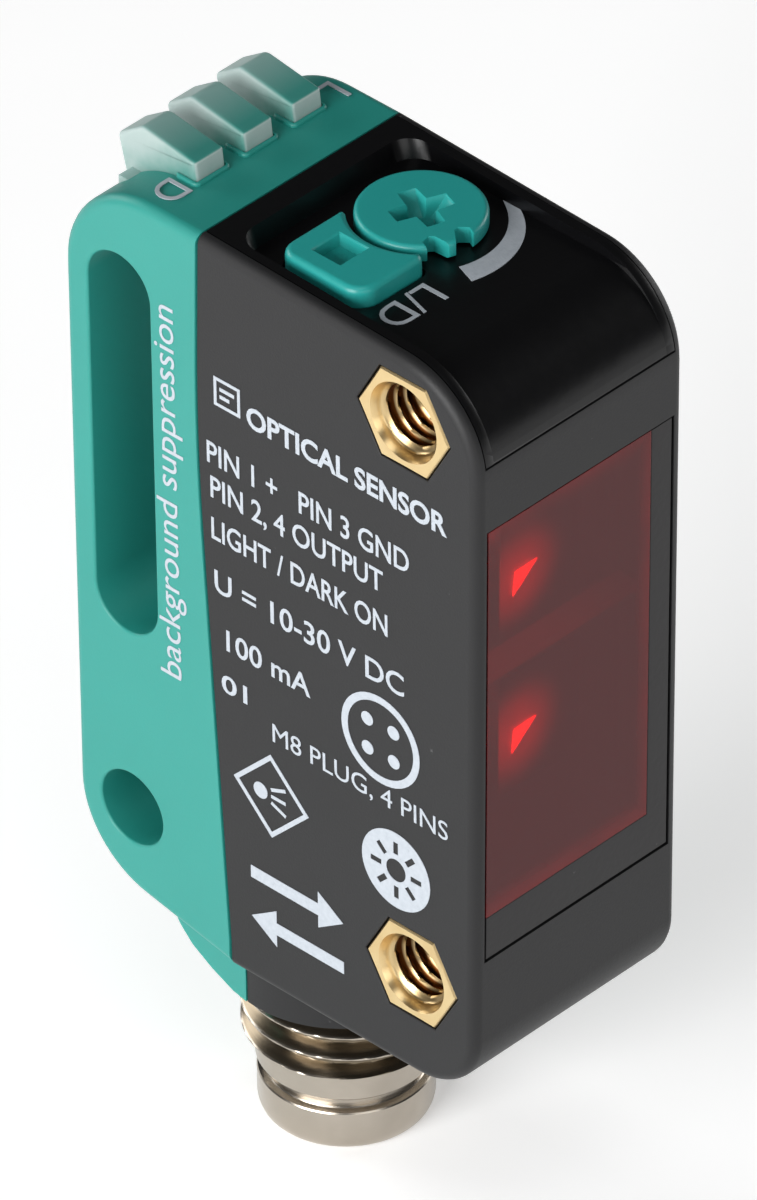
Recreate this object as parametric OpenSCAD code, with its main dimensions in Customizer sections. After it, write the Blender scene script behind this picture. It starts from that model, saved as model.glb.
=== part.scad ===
// Miniature photoelectric distance sensor with a two-part housing, an operator panel and an M8 plug.
// The origin is midway between the two threaded inserts, on the middle plane of the width.
// X is the width, -Y is the optical face, +Z is up.

/* [Housing] */
// Width across the two flat sides
body_w = 11; // [10.8:0.1:11.6]
// Distance from the insert line to the optical face
front_y = 3.5; // [3.4:0.1:3.8]
// Distance from the insert line to the back face
back_y = 17.45; // [17.3:0.05:18]
// Height of the top face over the inserts' midpoint, measured at the insert line
top_z = 15.6; // [15.5:0.1:15.9]
// Depth of the underside below the inserts' midpoint
bottom_z = 17.4; // [17.2:0.1:18]
// Forward lean of the optical face, in degrees
front_lean = 1.1; // [0:0.1:1.5]
// Rise of the top face towards the back, in degrees
top_slope = 2.1; // [1.5:0.1:2.4]
// Radius along the long outer edges
edge_r = 0.45; // [0.3:0.05:0.6]
// Thickness of the moulded walls
wall = 1; // [0.9:0.05:1.1]

/* [Fixing holes] */
// Distance between the two threaded inserts
insert_pitch = 25.4; // [25:0.1:25.6]
// Width of the hexagonal inserts across their corners
insert_corner_w = 4.58; // [4.4:0.02:4.6]
// Diameter of the inserts' thread bore
insert_bore_d = 2.5; // [2.4:0.05:2.6]
// Diameter of the rear hole and width of the rear slot
slot_w = 3.2; // [3:0.1:3.3]
// Distance of the rear slot and hole behind the insert line
slot_y = 14.6; // [14.5:0.1:14.7]
// Centre of the slot's upper end
slot_top_z = 11.5; // [11:0.1:11.5]
// Centre of the slot's lower end
slot_bottom_z = -2.6; // [-3:0.1:-2]
// Centre of the round rear hole
hole_z = -12.55; // [-12.7:0.05:-12.4]

/* [Window] */
// Width of the front window
window_w = 9.84; // [9.6:0.02:9.84]
// Upper edge of the front window
window_top = 9.32; // [9.1:0.02:9.4]
// Lower edge of the front window
window_bottom = -10.6; // [-10.7:0.05:-10.4]
// Thickness of the front window
window_t = 1.2; // [1:0.05:1.2]

/* [Operator panel] */
// Height of the recessed panel floor
floor_z = 15.15; // [15.1:0.01:15.2]
// Lower edge of the panel on the optical face
panel_lip_z = 12.22; // [12.1:0.02:12.4]
// Diameter of the adjuster knob
knob_d = 5; // [4.8:0.1:5]
// Sideways place of the knob's axis
knob_x = 1.44; // [1.4:0.01:1.5]
// Distance of the knob's axis behind the insert line
knob_y = 5.68; // [5.6:0.01:5.8]
// Turn of the knob's pointer from straight ahead, in degrees
pointer_turn = -19; // [-30:1:0]
// Height of the knob's and the button's top faces
control_top_z = 15.95; // [15.9:0.01:16]

/* [Connector] */
// Distance of the connector's axis behind the insert line
plug_y = 8.9; // [8.8:0.1:9]
// Outer diameter of the coupling thread
plug_thread_d = 8; // [7.9:0.1:8]
// Lowest point of the connector
plug_end_z = -26.5; // [-27:0.1:-26]
// Diameter of the collar round the connector
collar_d = 9.4; // [9.2:0.1:9.4]
// Lower face of the collar
collar_z = -19.55; // [-19.7:0.05:-19.4]

/* [Hidden] */
$fn = 64;

// Clearances: between touching mouldings, round turning stems and round the sliding button
seam = 0.04;
turn_gap = 0.05;
slide_gap = 0.08;
reach = 60;

// Seam between the two mouldings, from the top face to the underside
seam_top_y = 10.42;
seam_mid = [10.7, 6.8];
seam_foot = [9.47, -16.2];
seam_bend_r = 100;
rear_top_z = top_z + seam_top_y * tan(top_slope);
rear_foot_z = -17.35;
rear_foot_rise = 11;
cavity_top_z = 14.15;
cavity_bottom_z = -16.2;
cavity_back_y = 12.2;
cavity_x = body_w / 2 - wall;
front_wall = 2.1;

// Panel and its controls
panel_w = window_w;
panel_t = 1;
panel_ridge_y = 9.1;
panel_inset = 0.03;
panel_front_r = 3.3;
panel_bend_r = 1.2;
control_board_z = 12;
button_low = [-4.05, 3.5];
button_high = [-0.6, 7.8];
button_gap_r = knob_d / 2 + 0.28;

// Light pipe
rib_x = 0.15;
rib_pitch = 2.57;
rib_w = 1.55;
rib_front_y = 12.66;
pipe_back_y = 15.93;
pipe_base_w = 9.2;
pipe_block_w = 7.8;

// Boards and optics
board_y = 8.9;
board_t = 0.8;
block_front_y = -1.05;
block_back_y = 7.6;
emitter_z = 4.9;
receiver_z = -4;

// Connector
thread_end_z = -22.9;
groove_top_z = -23.95;
groove_end_z = -24.6;
plug_bore_r = 2.98;
shank_r = 3.6;
flange_r = 4.4;
flange_top_z = -15.4;
cup_r = 2.75;
cup_floor_z = -21;
pin_circle_r = 1.55;
pin_r = 0.4;

// Points of an arc that rounds corner b of the path a, b, c
function unit(v) = v / norm(v);
function corner_arc(a, b, c, r, steps) =
    let (u = unit(a - b), w = unit(c - b), half = acos(u * w) / 2,
         centre = b + unit(u + w) * r / sin(half),
         first = b + u * r / tan(half) - centre, last = b + w * r / tan(half) - centre,
         start = atan2(first.y, first.x),
         turn = (atan2(last.y, last.x) - start + 540) % 360 - 180)
    [for (i = [0:steps]) centre + r * [cos(start + turn * i / steps), sin(start + turn * i / steps)]];

// A closed outline with each corner rounded to its own radius, or left sharp where that is 0
function rounded(points, radii, steps = 12) =
    let (n = len(points))
    [for (i = [0:n - 1])
        each radii[i] == 0 ? [points[i]]
            : corner_arc(points[(i + n - 1) % n], points[i], points[(i + 1) % n], radii[i], steps)];

function front_at(z) = -front_y - z * tan(front_lean);
function top_at(y) = top_z + y * tan(top_slope);

// Side outlines, as points in Y and Z
function front_outline() = rounded(
    [[front_at(-bottom_z), -bottom_z], [front_at(top_z), top_at(front_at(top_z))],
     [seam_top_y, top_at(seam_top_y)], seam_mid, seam_foot, [seam_foot.x, -bottom_z]],
    [3, 3.9, 0, seam_bend_r, 0, 0]);

function rear_outline() = rounded(
    [[seam_top_y + seam, rear_top_z], [back_y, rear_top_z],
     [back_y, rear_foot_z + (back_y - seam_foot.x) * tan(rear_foot_rise)],
     [seam_foot.x + seam, rear_foot_z], seam_foot + [seam, 0], seam_mid + [seam, 0]],
    [0, 4.4, 4.2, 0, 0, seam_bend_r]);

// The panel: a flat tray behind, one curve down over the front corner, and a raised bar at the back.
// The outline runs on below the lip, where the panel is cut off level.
function panel_under() =
    [[front_at(panel_lip_z) + panel_t, panel_lip_z], [front_at(panel_lip_z) + panel_t, floor_z - panel_t],
     [seam_top_y - seam, floor_z - panel_t]];

function panel_outline() = rounded(
    concat([[seam_top_y - seam, top_at(seam_top_y)], [panel_ridge_y, top_at(panel_ridge_y)],
     [panel_ridge_y, floor_z], [front_at(floor_z) + panel_inset, floor_z],
     [front_at(0) + panel_inset, 0], [front_at(panel_lip_z) + panel_t, 0]], panel_under()),
    [0, 0, 0, panel_front_r, 0, 0, 0, panel_bend_r, 0]);

// What the housing leaves open for the panel, from the panel's underside outwards
function panel_opening() = rounded(
    concat([[reach, reach], [-reach, reach], [-reach, panel_lip_z - seam]],
    [for (p = panel_under()) p + [seam, -seam]], [[reach, floor_z - panel_t - seam]]),
    [0, 0, 0, 0, panel_bend_r, 0, 0]);

// Extrusions: across the width, and along Y from a front outline in X and Z
module across(width) {
    rotate([90, 0, 90])
        linear_extrude(width, center = true)
            children();
}

module along(length) {
    rotate([90, 0, 0])
        linear_extrude(length, center = true)
            children();
}

module block(low, high) {
    translate(low)
        cube(high - low);
}

// Everything below a top edge at this height, with both long edges rounded
module top_edges(height) {
    along(reach)
        polygon(rounded([[-body_w / 2, -reach], [body_w / 2, -reach], [body_w / 2, height], [-body_w / 2, height]],
            [0, 0, edge_r, edge_r]));
}

module bottom_edges(height) {
    mirror([0, 0, 1])
        top_edges(height);
}

// Everything on one side of an upright face at y = place, with both upright edges rounded
module upright_edges(place) {
    side = sign(place);
    translate([0, 0, -reach / 2])
        linear_extrude(reach)
            polygon(rounded([[-body_w / 2, -side * reach], [body_w / 2, -side * reach],
                [body_w / 2, place], [-body_w / 2, place]], [0, 0, edge_r, edge_r]));
}

module collar_cylinder() {
    translate([0, plug_y, collar_z])
        cylinder(d = collar_d, h = cavity_bottom_z - collar_z - 0.5);
}

// The passage for the connector through the collar, with recesses for its seal and its flange
module collar_bore() {
    translate([0, plug_y, collar_z - 1])
        cylinder(r = shank_r + turn_gap, h = 6);
    translate([0, plug_y, cavity_bottom_z - 0.7])
        cylinder(r = 4.63, h = 0.8);
    translate([0, plug_y, cavity_bottom_z])
        cylinder(r = flange_r + turn_gap, h = flange_top_z - cavity_bottom_z + turn_gap);
}

// The insert's hexagon with two flats level and two corners along Y, from side to side
module insert_hexagon(corner_r, length) {
    for (side = [-1, 1])
        translate([0, 0, side * insert_pitch / 2])
            rotate([90, 0, 90])
                cylinder(r = corner_r, h = length, center = true, $fn = 6);
}

module rear_slot() {
    for (z = [slot_bottom_z, slot_top_z])
        translate([0, slot_y, z])
            rotate([0, 90, 0])
                cylinder(d = slot_w, h = reach, center = true);
    block([-reach / 2, slot_y - slot_w / 2, slot_bottom_z], [reach / 2, slot_y + slot_w / 2, slot_top_z]);
}

// Places a child in the leaning frame of the optical face, with y = 0 on the face
module on_front() {
    rotate([front_lean, 0, 0])
        translate([0, -front_y, 0])
            children();
}

module front_housing() {
    boss_r = insert_corner_w / 2 + 0.66;
    ledge = 0.65;
    color("#3b3b3d")
        difference() {
            union() {
                difference() {
                    intersection() {
                        across(body_w)
                            polygon(front_outline());
                        rotate([front_lean, 0, 0])
                            upright_edges(-front_y);
                        rotate([top_slope, 0, 0])
                            top_edges(top_z * cos(top_slope));
                        bottom_edges(bottom_z);
                    }
                    // The room for the boards and the optics
                    block([-cavity_x, -front_y + front_wall, cavity_bottom_z], [cavity_x, reach, cavity_top_z]);
                }
                intersection() {
                    insert_hexagon(boss_r, body_w - 2 * edge_r);
                    block([-reach, -3.2, -reach], [reach, 4, floor_z - panel_t - seam]);
                }
                intersection() {
                    collar_cylinder();
                    block([-reach, -reach, -reach], [reach, seam_foot.x, reach]);
                }
            }
            // The seat of the operator panel
            across(panel_w + 2 * seam)
                polygon(panel_opening());
            // The window's seat and the opening behind it
            on_front() {
                block([-window_w / 2 - seam, -1, window_bottom - seam],
                    [window_w / 2 + seam, window_t + 0.25, window_top + seam]);
                block([-window_w / 2 + ledge, 0, window_bottom + ledge],
                    [window_w / 2 - ledge, front_wall + 1, window_top - ledge]);
            }
            insert_hexagon(insert_corner_w / 2 + seam, reach);
            collar_bore();
        }
}

module rear_housing() {
    tail_half = collar_d / 2;
    color("#3fae9d")
        difference() {
            union() {
                intersection() {
                    across(body_w)
                        polygon(rear_outline());
                    upright_edges(back_y);
                    top_edges(rear_top_z);
                    translate([0, seam_foot.x, 0])
                        rotate([rear_foot_rise, 0, 0])
                            bottom_edges(-rear_foot_z * cos(rear_foot_rise));
                }
                // The rear part of the collar
                intersection() {
                    collar_cylinder();
                    block([-reach, seam_foot.x + seam, -reach], [reach, reach, reach]);
                }
                // The foot that carries the collar up to the rounded rear corner in a shallow curve
                intersection() {
                    across(collar_d)
                        polygon([[seam_foot.x + seam, collar_z], [10.2, -19.4], [11.3, -18.9], [12.3, -18.3],
                            [13.1, -17.5], [13.7, -16.6], [14, -15.5], [seam_foot.x + seam, -15.5]]);
                    translate([0, 0, collar_z - 1])
                        linear_extrude(8)
                            polygon(rounded([[-tail_half, 0], [tail_half, 0], [tail_half, 14.2], [-tail_half, 14.2]],
                                [0, 0, 1.4, 1.4]));
                }
            }
            block([-cavity_x, 0, cavity_bottom_z], [cavity_x, cavity_back_y, cavity_top_z]);
            collar_bore();
            rear_slot();
            translate([0, slot_y, hole_z])
                rotate([0, 90, 0])
                    cylinder(d = slot_w, h = reach, center = true);
            light_pipe_shape(seam);
        }
}

// Elastomer lip that closes the joint between the two mouldings from inside, and leaves off over the plug
module housing_seal() {
    lip = 0.45;
    plug_half = 2.2;
    color("#202022")
        difference() {
            block([-cavity_x + seam, 9.55, cavity_bottom_z + 1.1], [cavity_x - seam, 10.25, cavity_top_z - seam]);
            block([-cavity_x + lip, 9, cavity_bottom_z + 1.1 + lip], [cavity_x - lip, 11, cavity_top_z - lip]);
            block([-plug_half, 9, cavity_bottom_z], [plug_half, 11, 0]);
        }
}

module button_outline(grow) {
    difference() {
        polygon(rounded([button_low - [grow, grow], [button_high.x + grow, button_low.y - grow],
            button_high + [grow, grow], [button_low.x - grow, button_high.y + grow]],
            [0.9 + grow, 0.35, 0.12, 0.8 + grow]));
        translate([knob_x, knob_y])
            circle(r = button_gap_r - grow);
    }
}

module operator_panel() {
    relief_half = 1.6;
    relief_z = 14.78;
    color("#141416")
        difference() {
            across(panel_w)
                polygon(panel_outline());
            translate([knob_x, knob_y, 0])
                cylinder(r = 1.2 + turn_gap, h = reach);
            linear_extrude(reach)
                button_outline(slide_gap);
            block([-reach, -reach, -1], [reach, 0, panel_lip_z]);
            // Relief over the upper insert
            block([-reach, -relief_half, 0], [reach, relief_half, relief_z]);
        }
}

module front_window() {
    color("#5a1f22", 0.85)
        on_front()
            block([-window_w / 2, 0, window_bottom], [window_w / 2, window_t, window_top]);
}

module window_seal() {
    rim = 0.6;
    color("#111113")
        on_front()
            difference() {
                block([-window_w / 2, window_t, window_bottom], [window_w / 2, window_t + 0.25, window_top]);
                block([-window_w / 2 + rim, 0, window_bottom + rim], [window_w / 2 - rim, 3, window_top - rim]);
            }
}

// Two brass bushes, each threaded right through, with a countersink at both ends
module mounting_inserts() {
    sink = 0.5;
    color("#c9a24c")
        difference() {
            insert_hexagon(insert_corner_w / 2, body_w);
            for (side = [-1, 1])
                translate([0, 0, side * insert_pitch / 2])
                    rotate([0, 90, 0]) {
                        cylinder(d = insert_bore_d, h = reach, center = true);
                        for (end = [0, 1])
                            mirror([0, 0, end])
                                translate([0, 0, body_w / 2 - sink])
                                    cylinder(d1 = insert_bore_d, d2 = insert_bore_d + 2 * sink, h = sink);
                    }
        }
}

// Knob with a cross recess, and a pointer that stands between two notches in its rim
module range_knob() {
    disc_z = 15.25;
    stem_z = 14.2;
    rim = -knob_d / 2 - 0.1;
    color("#2f9c93")
        translate([knob_x, knob_y, 0])
            rotate([0, 0, pointer_turn])
                difference() {
                    union() {
                        translate([0, 0, disc_z])
                            cylinder(d = knob_d, h = control_top_z - disc_z);
                        translate([0, 0, stem_z])
                            cylinder(r = 1.2, h = disc_z - stem_z);
                    }
                    for (turn = [0, 90])
                        rotate([0, 0, turn])
                            translate([0, 0, control_top_z])
                                cube([2.2, 0.62, 1.7], center = true);
                    for (side = [-1, 1])
                        linear_extrude(reach)
                            polygon([[side * 0.08, rim], [side * 0.45, -1.78], [side * 1, -1.9], [side * 0.95, rim]]);
                }
}

module knob_seal() {
    color("#1b1b1d")
        translate([knob_x, knob_y, 13.97])
            rotate_extrude()
                translate([1.4, 0])
                    circle(r = 0.15, $fn = 24);
}

module potentiometer_body() {
    half = 1.9;
    color("#30507c")
        difference() {
            block([knob_x - half, knob_y - half, control_board_z],
                [knob_x + half, knob_y + half, control_board_z + 1.75]);
            translate([knob_x, knob_y, control_board_z + 0.8])
                cylinder(r = 1.2 + turn_gap, h = 5);
        }
}

module potentiometer_rotor() {
    color("#d8d8d2")
        translate([knob_x, knob_y, control_board_z + 0.9])
            difference() {
                cylinder(r = 1.2, h = 14.2 - control_board_z - 0.9);
                translate([0, 0, 1.3])
                    cube([1.6, 0.4, 1], center = true);
            }
}

// Push button with a square socket for a screwdriver tip, and a flange that keeps it under the panel
module mode_button() {
    socket_w = 1.45;
    flange_z = 13.65;
    stem_c = (button_low + button_high) / 2;
    color("#2f9c93")
        difference() {
            union() {
                translate([0, 0, flange_z + 0.3])
                    linear_extrude(control_top_z - flange_z - 0.3)
                        button_outline(0);
                intersection() {
                    block([button_low.x - 0.2, button_low.y - 0.25, flange_z],
                        [-0.75, button_high.y + 0.25, flange_z + 0.3]);
                    translate([0, 0, flange_z])
                        difference() {
                            cylinder(r = 20, h = 1);
                            translate([knob_x, knob_y, -1])
                                cylinder(r = button_gap_r + 0.1, h = 5);
                        }
                }
            }
            translate([stem_c.x - 0.19, stem_c.y + 0.45, control_top_z])
                cube([socket_w, socket_w, 1.1], center = true);
        }
}

module tact_switch() {
    half = 1.35;
    centre = [-2.35, 5.65];
    color("#9a9a9c")
        block([centre.x - half, centre.y - half, control_board_z],
            [centre.x + half, centre.y + half, control_board_z + 1]);
}

// Snap dome under the button, which returns it
module switch_dome() {
    dome_r = 0.9;
    dome_h = 0.55;
    ball_r = (dome_r * dome_r + dome_h * dome_h) / (2 * dome_h);
    color("#c8c8c4")
        translate([-2.35, 5.65, control_board_z + 1])
            intersection() {
                translate([0, 0, dome_h - ball_r])
                    sphere(r = ball_r);
                cylinder(r = dome_r + 0.1, h = dome_h);
            }
}

// The three ribs, the bar that joins them inside and the base that closes the rear corner
module light_pipe_shape(grow = 0) {
    for (i = [-1:1])
        translate([rib_x + i * rib_pitch, 0, 0]) {
            across(rib_w + 2 * grow)
                polygon([[rib_front_y - grow, 14.5], [rib_front_y - grow, 16.05], [12.76 - grow, 16.89 + grow],
                    [15.46, 17.28 + grow], [16.77 + grow, 16.39 + grow], [16.32 + grow, 14.5]]);
            block([-0.6 - grow, 10.85 - grow, 12.75], [0.6 + grow, 11.9 + grow, 14.5]);
        }
    block([-pipe_block_w / 2 - grow, 10.85 - grow, 14.1 - grow], [pipe_block_w / 2 + grow, pipe_back_y + 0.1, 15.2 + grow]);
    intersection() {
        across(pipe_base_w + 2 * grow)
            polygon(rear_outline());
        block([-reach, pipe_back_y - grow, 13.9 - grow], [reach, reach, reach]);
    }
}

module light_pipe() {
    color("#dfe8e4", 0.8)
        light_pipe_shape();
}

module indicator_leds() {
    color("#f0efe0")
        for (i = [-1:1])
            translate([rib_x + i * rib_pitch, 11.37, control_board_z + 0.3])
                cube([1, 0.8, 0.6], center = true);
}

module control_board() {
    color("#1f6b3a")
        block([-3.8, 3.3, control_board_z - board_t], [3.85, 12, control_board_z]);
}

module main_board() {
    color("#1f6b3a")
        block([-4.1, board_y - board_t / 2, -12.6], [4.1, board_y + board_t / 2, 10.6]);
}

// Flexible strip that joins the two boards
module board_link() {
    strip_t = 0.15;
    back = board_y + board_t / 2;
    under = control_board_z - board_t;
    color("#b5761f")
        across(5)
            polygon([[back, 8], [back + strip_t, 8], [back + strip_t, under - strip_t - 0.2],
                [back + 1.5, under - strip_t], [back + 2, under - strip_t], [back + 2, under],
                [back + 1.4, under], [back, under - strip_t]]);
}

module processor_chip() {
    color("#2a2a2c")
        block([-2.5, board_y + board_t / 2, -2.6], [2.5, board_y + board_t / 2 + 0.85, 2.4]);
}

module board_components() {
    size = [1.6, 0.5, 0.8];
    color("#b59a6a")
        for (row = [0:1], column = [-1:1])
            translate([column * 2.4, board_y + board_t / 2 + size.y / 2, 4.2 + row * 1.7])
                cube(size, center = true);
    color("#b59a6a")
        for (row = [0:2], column = [-1:1])
            translate([column * 2.4, board_y + board_t / 2 + size.y / 2, -8.4 + row * 1.9])
                cube(size, center = true);
}

// Black carrier with one chamber for the emitter and one for the receiver
module optics_block() {
    half_w = 4.05;
    chamber_half = 3.5;
    color("#19191b")
        difference() {
            block([-half_w, block_front_y, -9.6], [half_w, block_back_y, 8.5]);
            block([-chamber_half, -reach, 1.95], [chamber_half, block_back_y - 0.7, 7.9]);
            block([-chamber_half, -reach, -9], [chamber_half, block_back_y - 0.7, 1.15]);
            translate([0, block_back_y, emitter_z])
                rotate([90, 0, 0])
                    cylinder(r = 0.85, h = 3, center = true);
            block([-1.6, block_back_y - 1, receiver_z - 3.1], [1.6, reach, receiver_z + 3.1]);
        }
}

// Thin wall between the two beams, from the optics block to the window
module beam_divider() {
    color("#19191b")
        block([-4, -2.05, 1.35], [4, block_front_y, 1.75]);
}

// Rectangular lens plate with a round dome on its front
module lens(low_z, high_z, dome_r, dome_h) {
    ball_r = (dome_r * dome_r + dome_h * dome_h) / (2 * dome_h);
    plate_front = -0.1;
    mid = (low_z + high_z) / 2;
    color("#c9d6da", 0.6) {
        block([-3.46, plate_front, low_z], [3.46, plate_front + 0.9, high_z]);
        intersection() {
            translate([0, plate_front - dome_h + ball_r, mid])
                sphere(r = ball_r);
            block([-3.4, plate_front - dome_h - 0.1, low_z], [3.4, plate_front + 0.1, high_z]);
        }
    }
}

module emitter_lens() {
    lens(2, 7.85, 2.7, 0.8);
}

module receiver_lens() {
    lens(-8.95, 1.1, 3.4, 1);
}

module emitter_led() {
    color("#e8e4d8") {
        block([-1.1, 7.75, emitter_z - 1.1], [1.1, board_y - board_t / 2, emitter_z + 1.1]);
        translate([0, 7.8, emitter_z])
            sphere(r = 0.75);
    }
}

module receiver_array() {
    color("#3a2f4a")
        block([-1.5, 7.7, receiver_z - 3], [1.5, board_y - board_t / 2, receiver_z + 3]);
}

// Nickel-plated shell: flange inside, coupling thread, neck, snap groove and nose
module connector_shell() {
    thread_r = plug_thread_d / 2;
    neck_r = 3.48;
    nose_r = 3.42;
    flange_z = -16.15;
    thread_z = collar_z - 0.05;
    color("#b9b6b0")
        translate([0, plug_y, 0])
            rotate_extrude()
                polygon([
                    [plug_bore_r, flange_top_z], [flange_r, flange_top_z], [flange_r, flange_z], [shank_r, flange_z],
                    [shank_r, thread_z], [thread_r, thread_z], [thread_r, thread_end_z],
                    [neck_r, thread_end_z - 0.3], [neck_r, groove_top_z], [3.12, groove_top_z - 0.15],
                    [3.12, groove_end_z], [nose_r, groove_end_z - 0.1], [nose_r, plug_end_z + 0.55],
                    [3.3, plug_end_z + 0.12], [3.1, plug_end_z], [cup_r, plug_end_z],
                    [cup_r, cup_floor_z], [plug_bore_r, cup_floor_z]]);
}

module connector_seal() {
    color("#1b1b1d")
        translate([0, plug_y, cavity_bottom_z - 0.33])
            rotate_extrude()
                translate([4.27, 0])
                    circle(r = 0.3, $fn = 24);
}

module pin_places() {
    for (i = [0:3])
        translate([0, plug_y, 0])
            rotate([0, 0, 45 + 90 * i])
                translate([pin_circle_r, 0, 0])
                    children();
}

module connector_insulator() {
    key_w = 0.9;
    color("#1e1e20")
        difference() {
            union() {
                translate([0, plug_y, cup_floor_z])
                    cylinder(r = plug_bore_r - 0.02, h = -15.6 - cup_floor_z);
                // The key that only lets the mating plug in one way round
                intersection() {
                    translate([-key_w / 2, plug_y - cup_r, cup_floor_z - 3.6])
                        cube([key_w, 0.65, 3.7]);
                    translate([0, plug_y, plug_end_z])
                        cylinder(r = cup_r - 0.02, h = 10);
                }
            }
            pin_places()
                translate([0, 0, cup_floor_z - 1])
                    cylinder(r = pin_r + 0.02, h = 10);
        }
}

module contact_pins() {
    tip_z = plug_end_z + 1.3;
    color("#d8b45a")
        pin_places() {
            translate([0, 0, tip_z + pin_r])
                cylinder(r = pin_r, h = -14.8 - tip_z - pin_r);
            translate([0, 0, tip_z + pin_r])
                sphere(r = pin_r, $fn = 32);
        }
}

// Four leads from the pins' tails up to pads on both faces of the main board
module pin_leads() {
    lead_r = 0.28;
    tail_z = -14.8;
    pad_z = -11.4;
    inset = pin_circle_r * cos(45);
    color("#b5b2aa")
        for (side = [-1, 1], face = [-1, 1])
            translate([side * inset, plug_y + face * inset, tail_z]) {
                cylinder(r = lead_r, h = pad_z - tail_z);
                translate([-0.4, face > 0 ? -inset + board_t / 2 : -0.1, pad_z - tail_z - 0.9])
                    cube([0.8, inset - board_t / 2 + 0.1, 0.9]);
            }
}

front_housing();
rear_housing();
housing_seal();
operator_panel();
front_window();
window_seal();
mounting_inserts();
range_knob();
knob_seal();
potentiometer_body();
potentiometer_rotor();
mode_button();
tact_switch();
switch_dome();
light_pipe();
indicator_leds();
control_board();
main_board();
board_link();
processor_chip();
board_components();
optics_block();
beam_divider();
emitter_lens();
receiver_lens();
emitter_led();
receiver_array();
connector_shell();
connector_seal();
connector_insulator();
contact_pins();
pin_leads();
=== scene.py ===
# A miniature photoelectric distance sensor: case, panel, knob, button, window, brass inserts and plug
import math

import bmesh
import bpy
from mathutils import Matrix, Vector


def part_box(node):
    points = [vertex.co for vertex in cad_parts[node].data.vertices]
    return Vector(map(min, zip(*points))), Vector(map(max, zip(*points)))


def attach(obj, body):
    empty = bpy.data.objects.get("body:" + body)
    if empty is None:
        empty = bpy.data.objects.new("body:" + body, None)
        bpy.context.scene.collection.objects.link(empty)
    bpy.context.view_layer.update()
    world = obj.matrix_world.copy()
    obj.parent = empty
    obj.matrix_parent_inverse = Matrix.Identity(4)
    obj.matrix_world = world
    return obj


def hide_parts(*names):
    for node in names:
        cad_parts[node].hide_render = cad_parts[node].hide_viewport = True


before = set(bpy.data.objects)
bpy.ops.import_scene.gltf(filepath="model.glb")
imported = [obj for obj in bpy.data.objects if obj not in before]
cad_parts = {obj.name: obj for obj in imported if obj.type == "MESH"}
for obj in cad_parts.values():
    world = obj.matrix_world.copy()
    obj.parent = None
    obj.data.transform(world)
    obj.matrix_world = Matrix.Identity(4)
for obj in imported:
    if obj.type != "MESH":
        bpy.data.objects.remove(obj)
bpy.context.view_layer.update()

# Everything is drawn in millimetres in the shared frame, and each finished mesh is shrunk to metres.
# The origin is midway between the inserts, -X is the printed side, -Y the window, +Z the panel.
mm = 0.001
beyond = 30  # how far cutters reach, well past every part of the object
scene = bpy.context.scene


def nodeBox(name):
    low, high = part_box(name)
    return low / mm, high / mm


caseHalf = nodeBox("front_housing")[1].x
windowLow, windowHigh = nodeBox("front_window")
plugLow, plugHigh = nodeBox("connector_shell")
knobLow, knobHigh = nodeBox("range_knob")
buttonLow, buttonHigh = nodeBox("mode_button")
insertLow, insertHigh = nodeBox("mounting_inserts")
knobCentre = (knobLow + knobHigh) / 2
plugY = (plugLow.y + plugHigh.y) / 2
insertCorner = (insertHigh.y - insertLow.y) / 2
insertZ = insertHigh.z - insertCorner * math.cos(math.pi / 6)

# Side view of the case, as points in Y and Z
caseShape = {
    "frontY": -3.5,
    "lean": math.radians(1.1),  # the window face leans forward by this
    "topZ": 15.6,
    "slope": math.radians(2.1),  # the top rises towards the back by this
    "bottomZ": -17.4,
    "rearBottomZ": -17.35,
    "rearRise": math.radians(11),  # the rear underside climbs towards the back by this
    "backY": 17.45,
    "frontBottomR": 3.0,
    "frontTopR": 3.9,
    "rearTopR": 4.4,
    "rearBottomR": 4.2,
    "seamTopY": 10.42,
    "seamMid": (10.7, 6.8),
    "seamFoot": (9.47, -16.2),
    "seamBendR": 100,
    "seamGap": 0.05,
    "edgeR": 0.45,
}


def frontAt(z):
    return caseShape["frontY"] - z * math.tan(caseShape["lean"])


def topAt(y):
    return caseShape["topZ"] + y * math.tan(caseShape["slope"])


# Outlines, and the solids drawn from them

def roundedLoop(corners, radii, steps=12):  # a closed outline with each corner rounded to its own radius
    loop = []
    count = len(corners)
    for i, radius in enumerate(radii):
        corner = Vector(corners[i])
        if radius == 0:
            loop.append(corner)
            continue
        toBefore = (Vector(corners[i - 1]) - corner).normalized()
        toAfter = (Vector(corners[(i + 1) % count]) - corner).normalized()
        half = toBefore.angle(toAfter) / 2
        centre = corner + (toBefore + toAfter).normalized() * radius / math.sin(half)
        first = corner + toBefore * radius / math.tan(half) - centre
        last = corner + toAfter * radius / math.tan(half) - centre
        start = math.atan2(first.y, first.x)
        turn = (math.atan2(last.y, last.x) - start + 3 * math.pi) % (2 * math.pi) - math.pi
        for k in range(steps + 1):
            angle = start + turn * k / steps
            loop.append(centre + radius * Vector((math.cos(angle), math.sin(angle))))
    return loop


def drawnIn(loop, depth, shareAt=None):  # moves every edge inwards by depth, or by its own share of it
    if depth == 0:
        return list(loop)
    count = len(loop)
    area = sum(loop[i - 1].cross(loop[i]) for i in range(count))
    side = 1 if area > 0 else -1
    lines = []
    for i in range(count):
        start, end = loop[i], loop[(i + 1) % count]
        along = (end - start).normalized()
        share = shareAt((start + end) / 2) if shareAt else 1
        lines.append((start + Vector((-along.y, along.x)) * side * depth * share, along))
    moved = []
    for i in range(count):
        (a, u), (b, w) = lines[i - 1], lines[i]
        cross = u.cross(w)
        moved.append(b if abs(cross) < 1e-4 else a + u * ((b - a).cross(w) / cross))
    return moved


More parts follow.
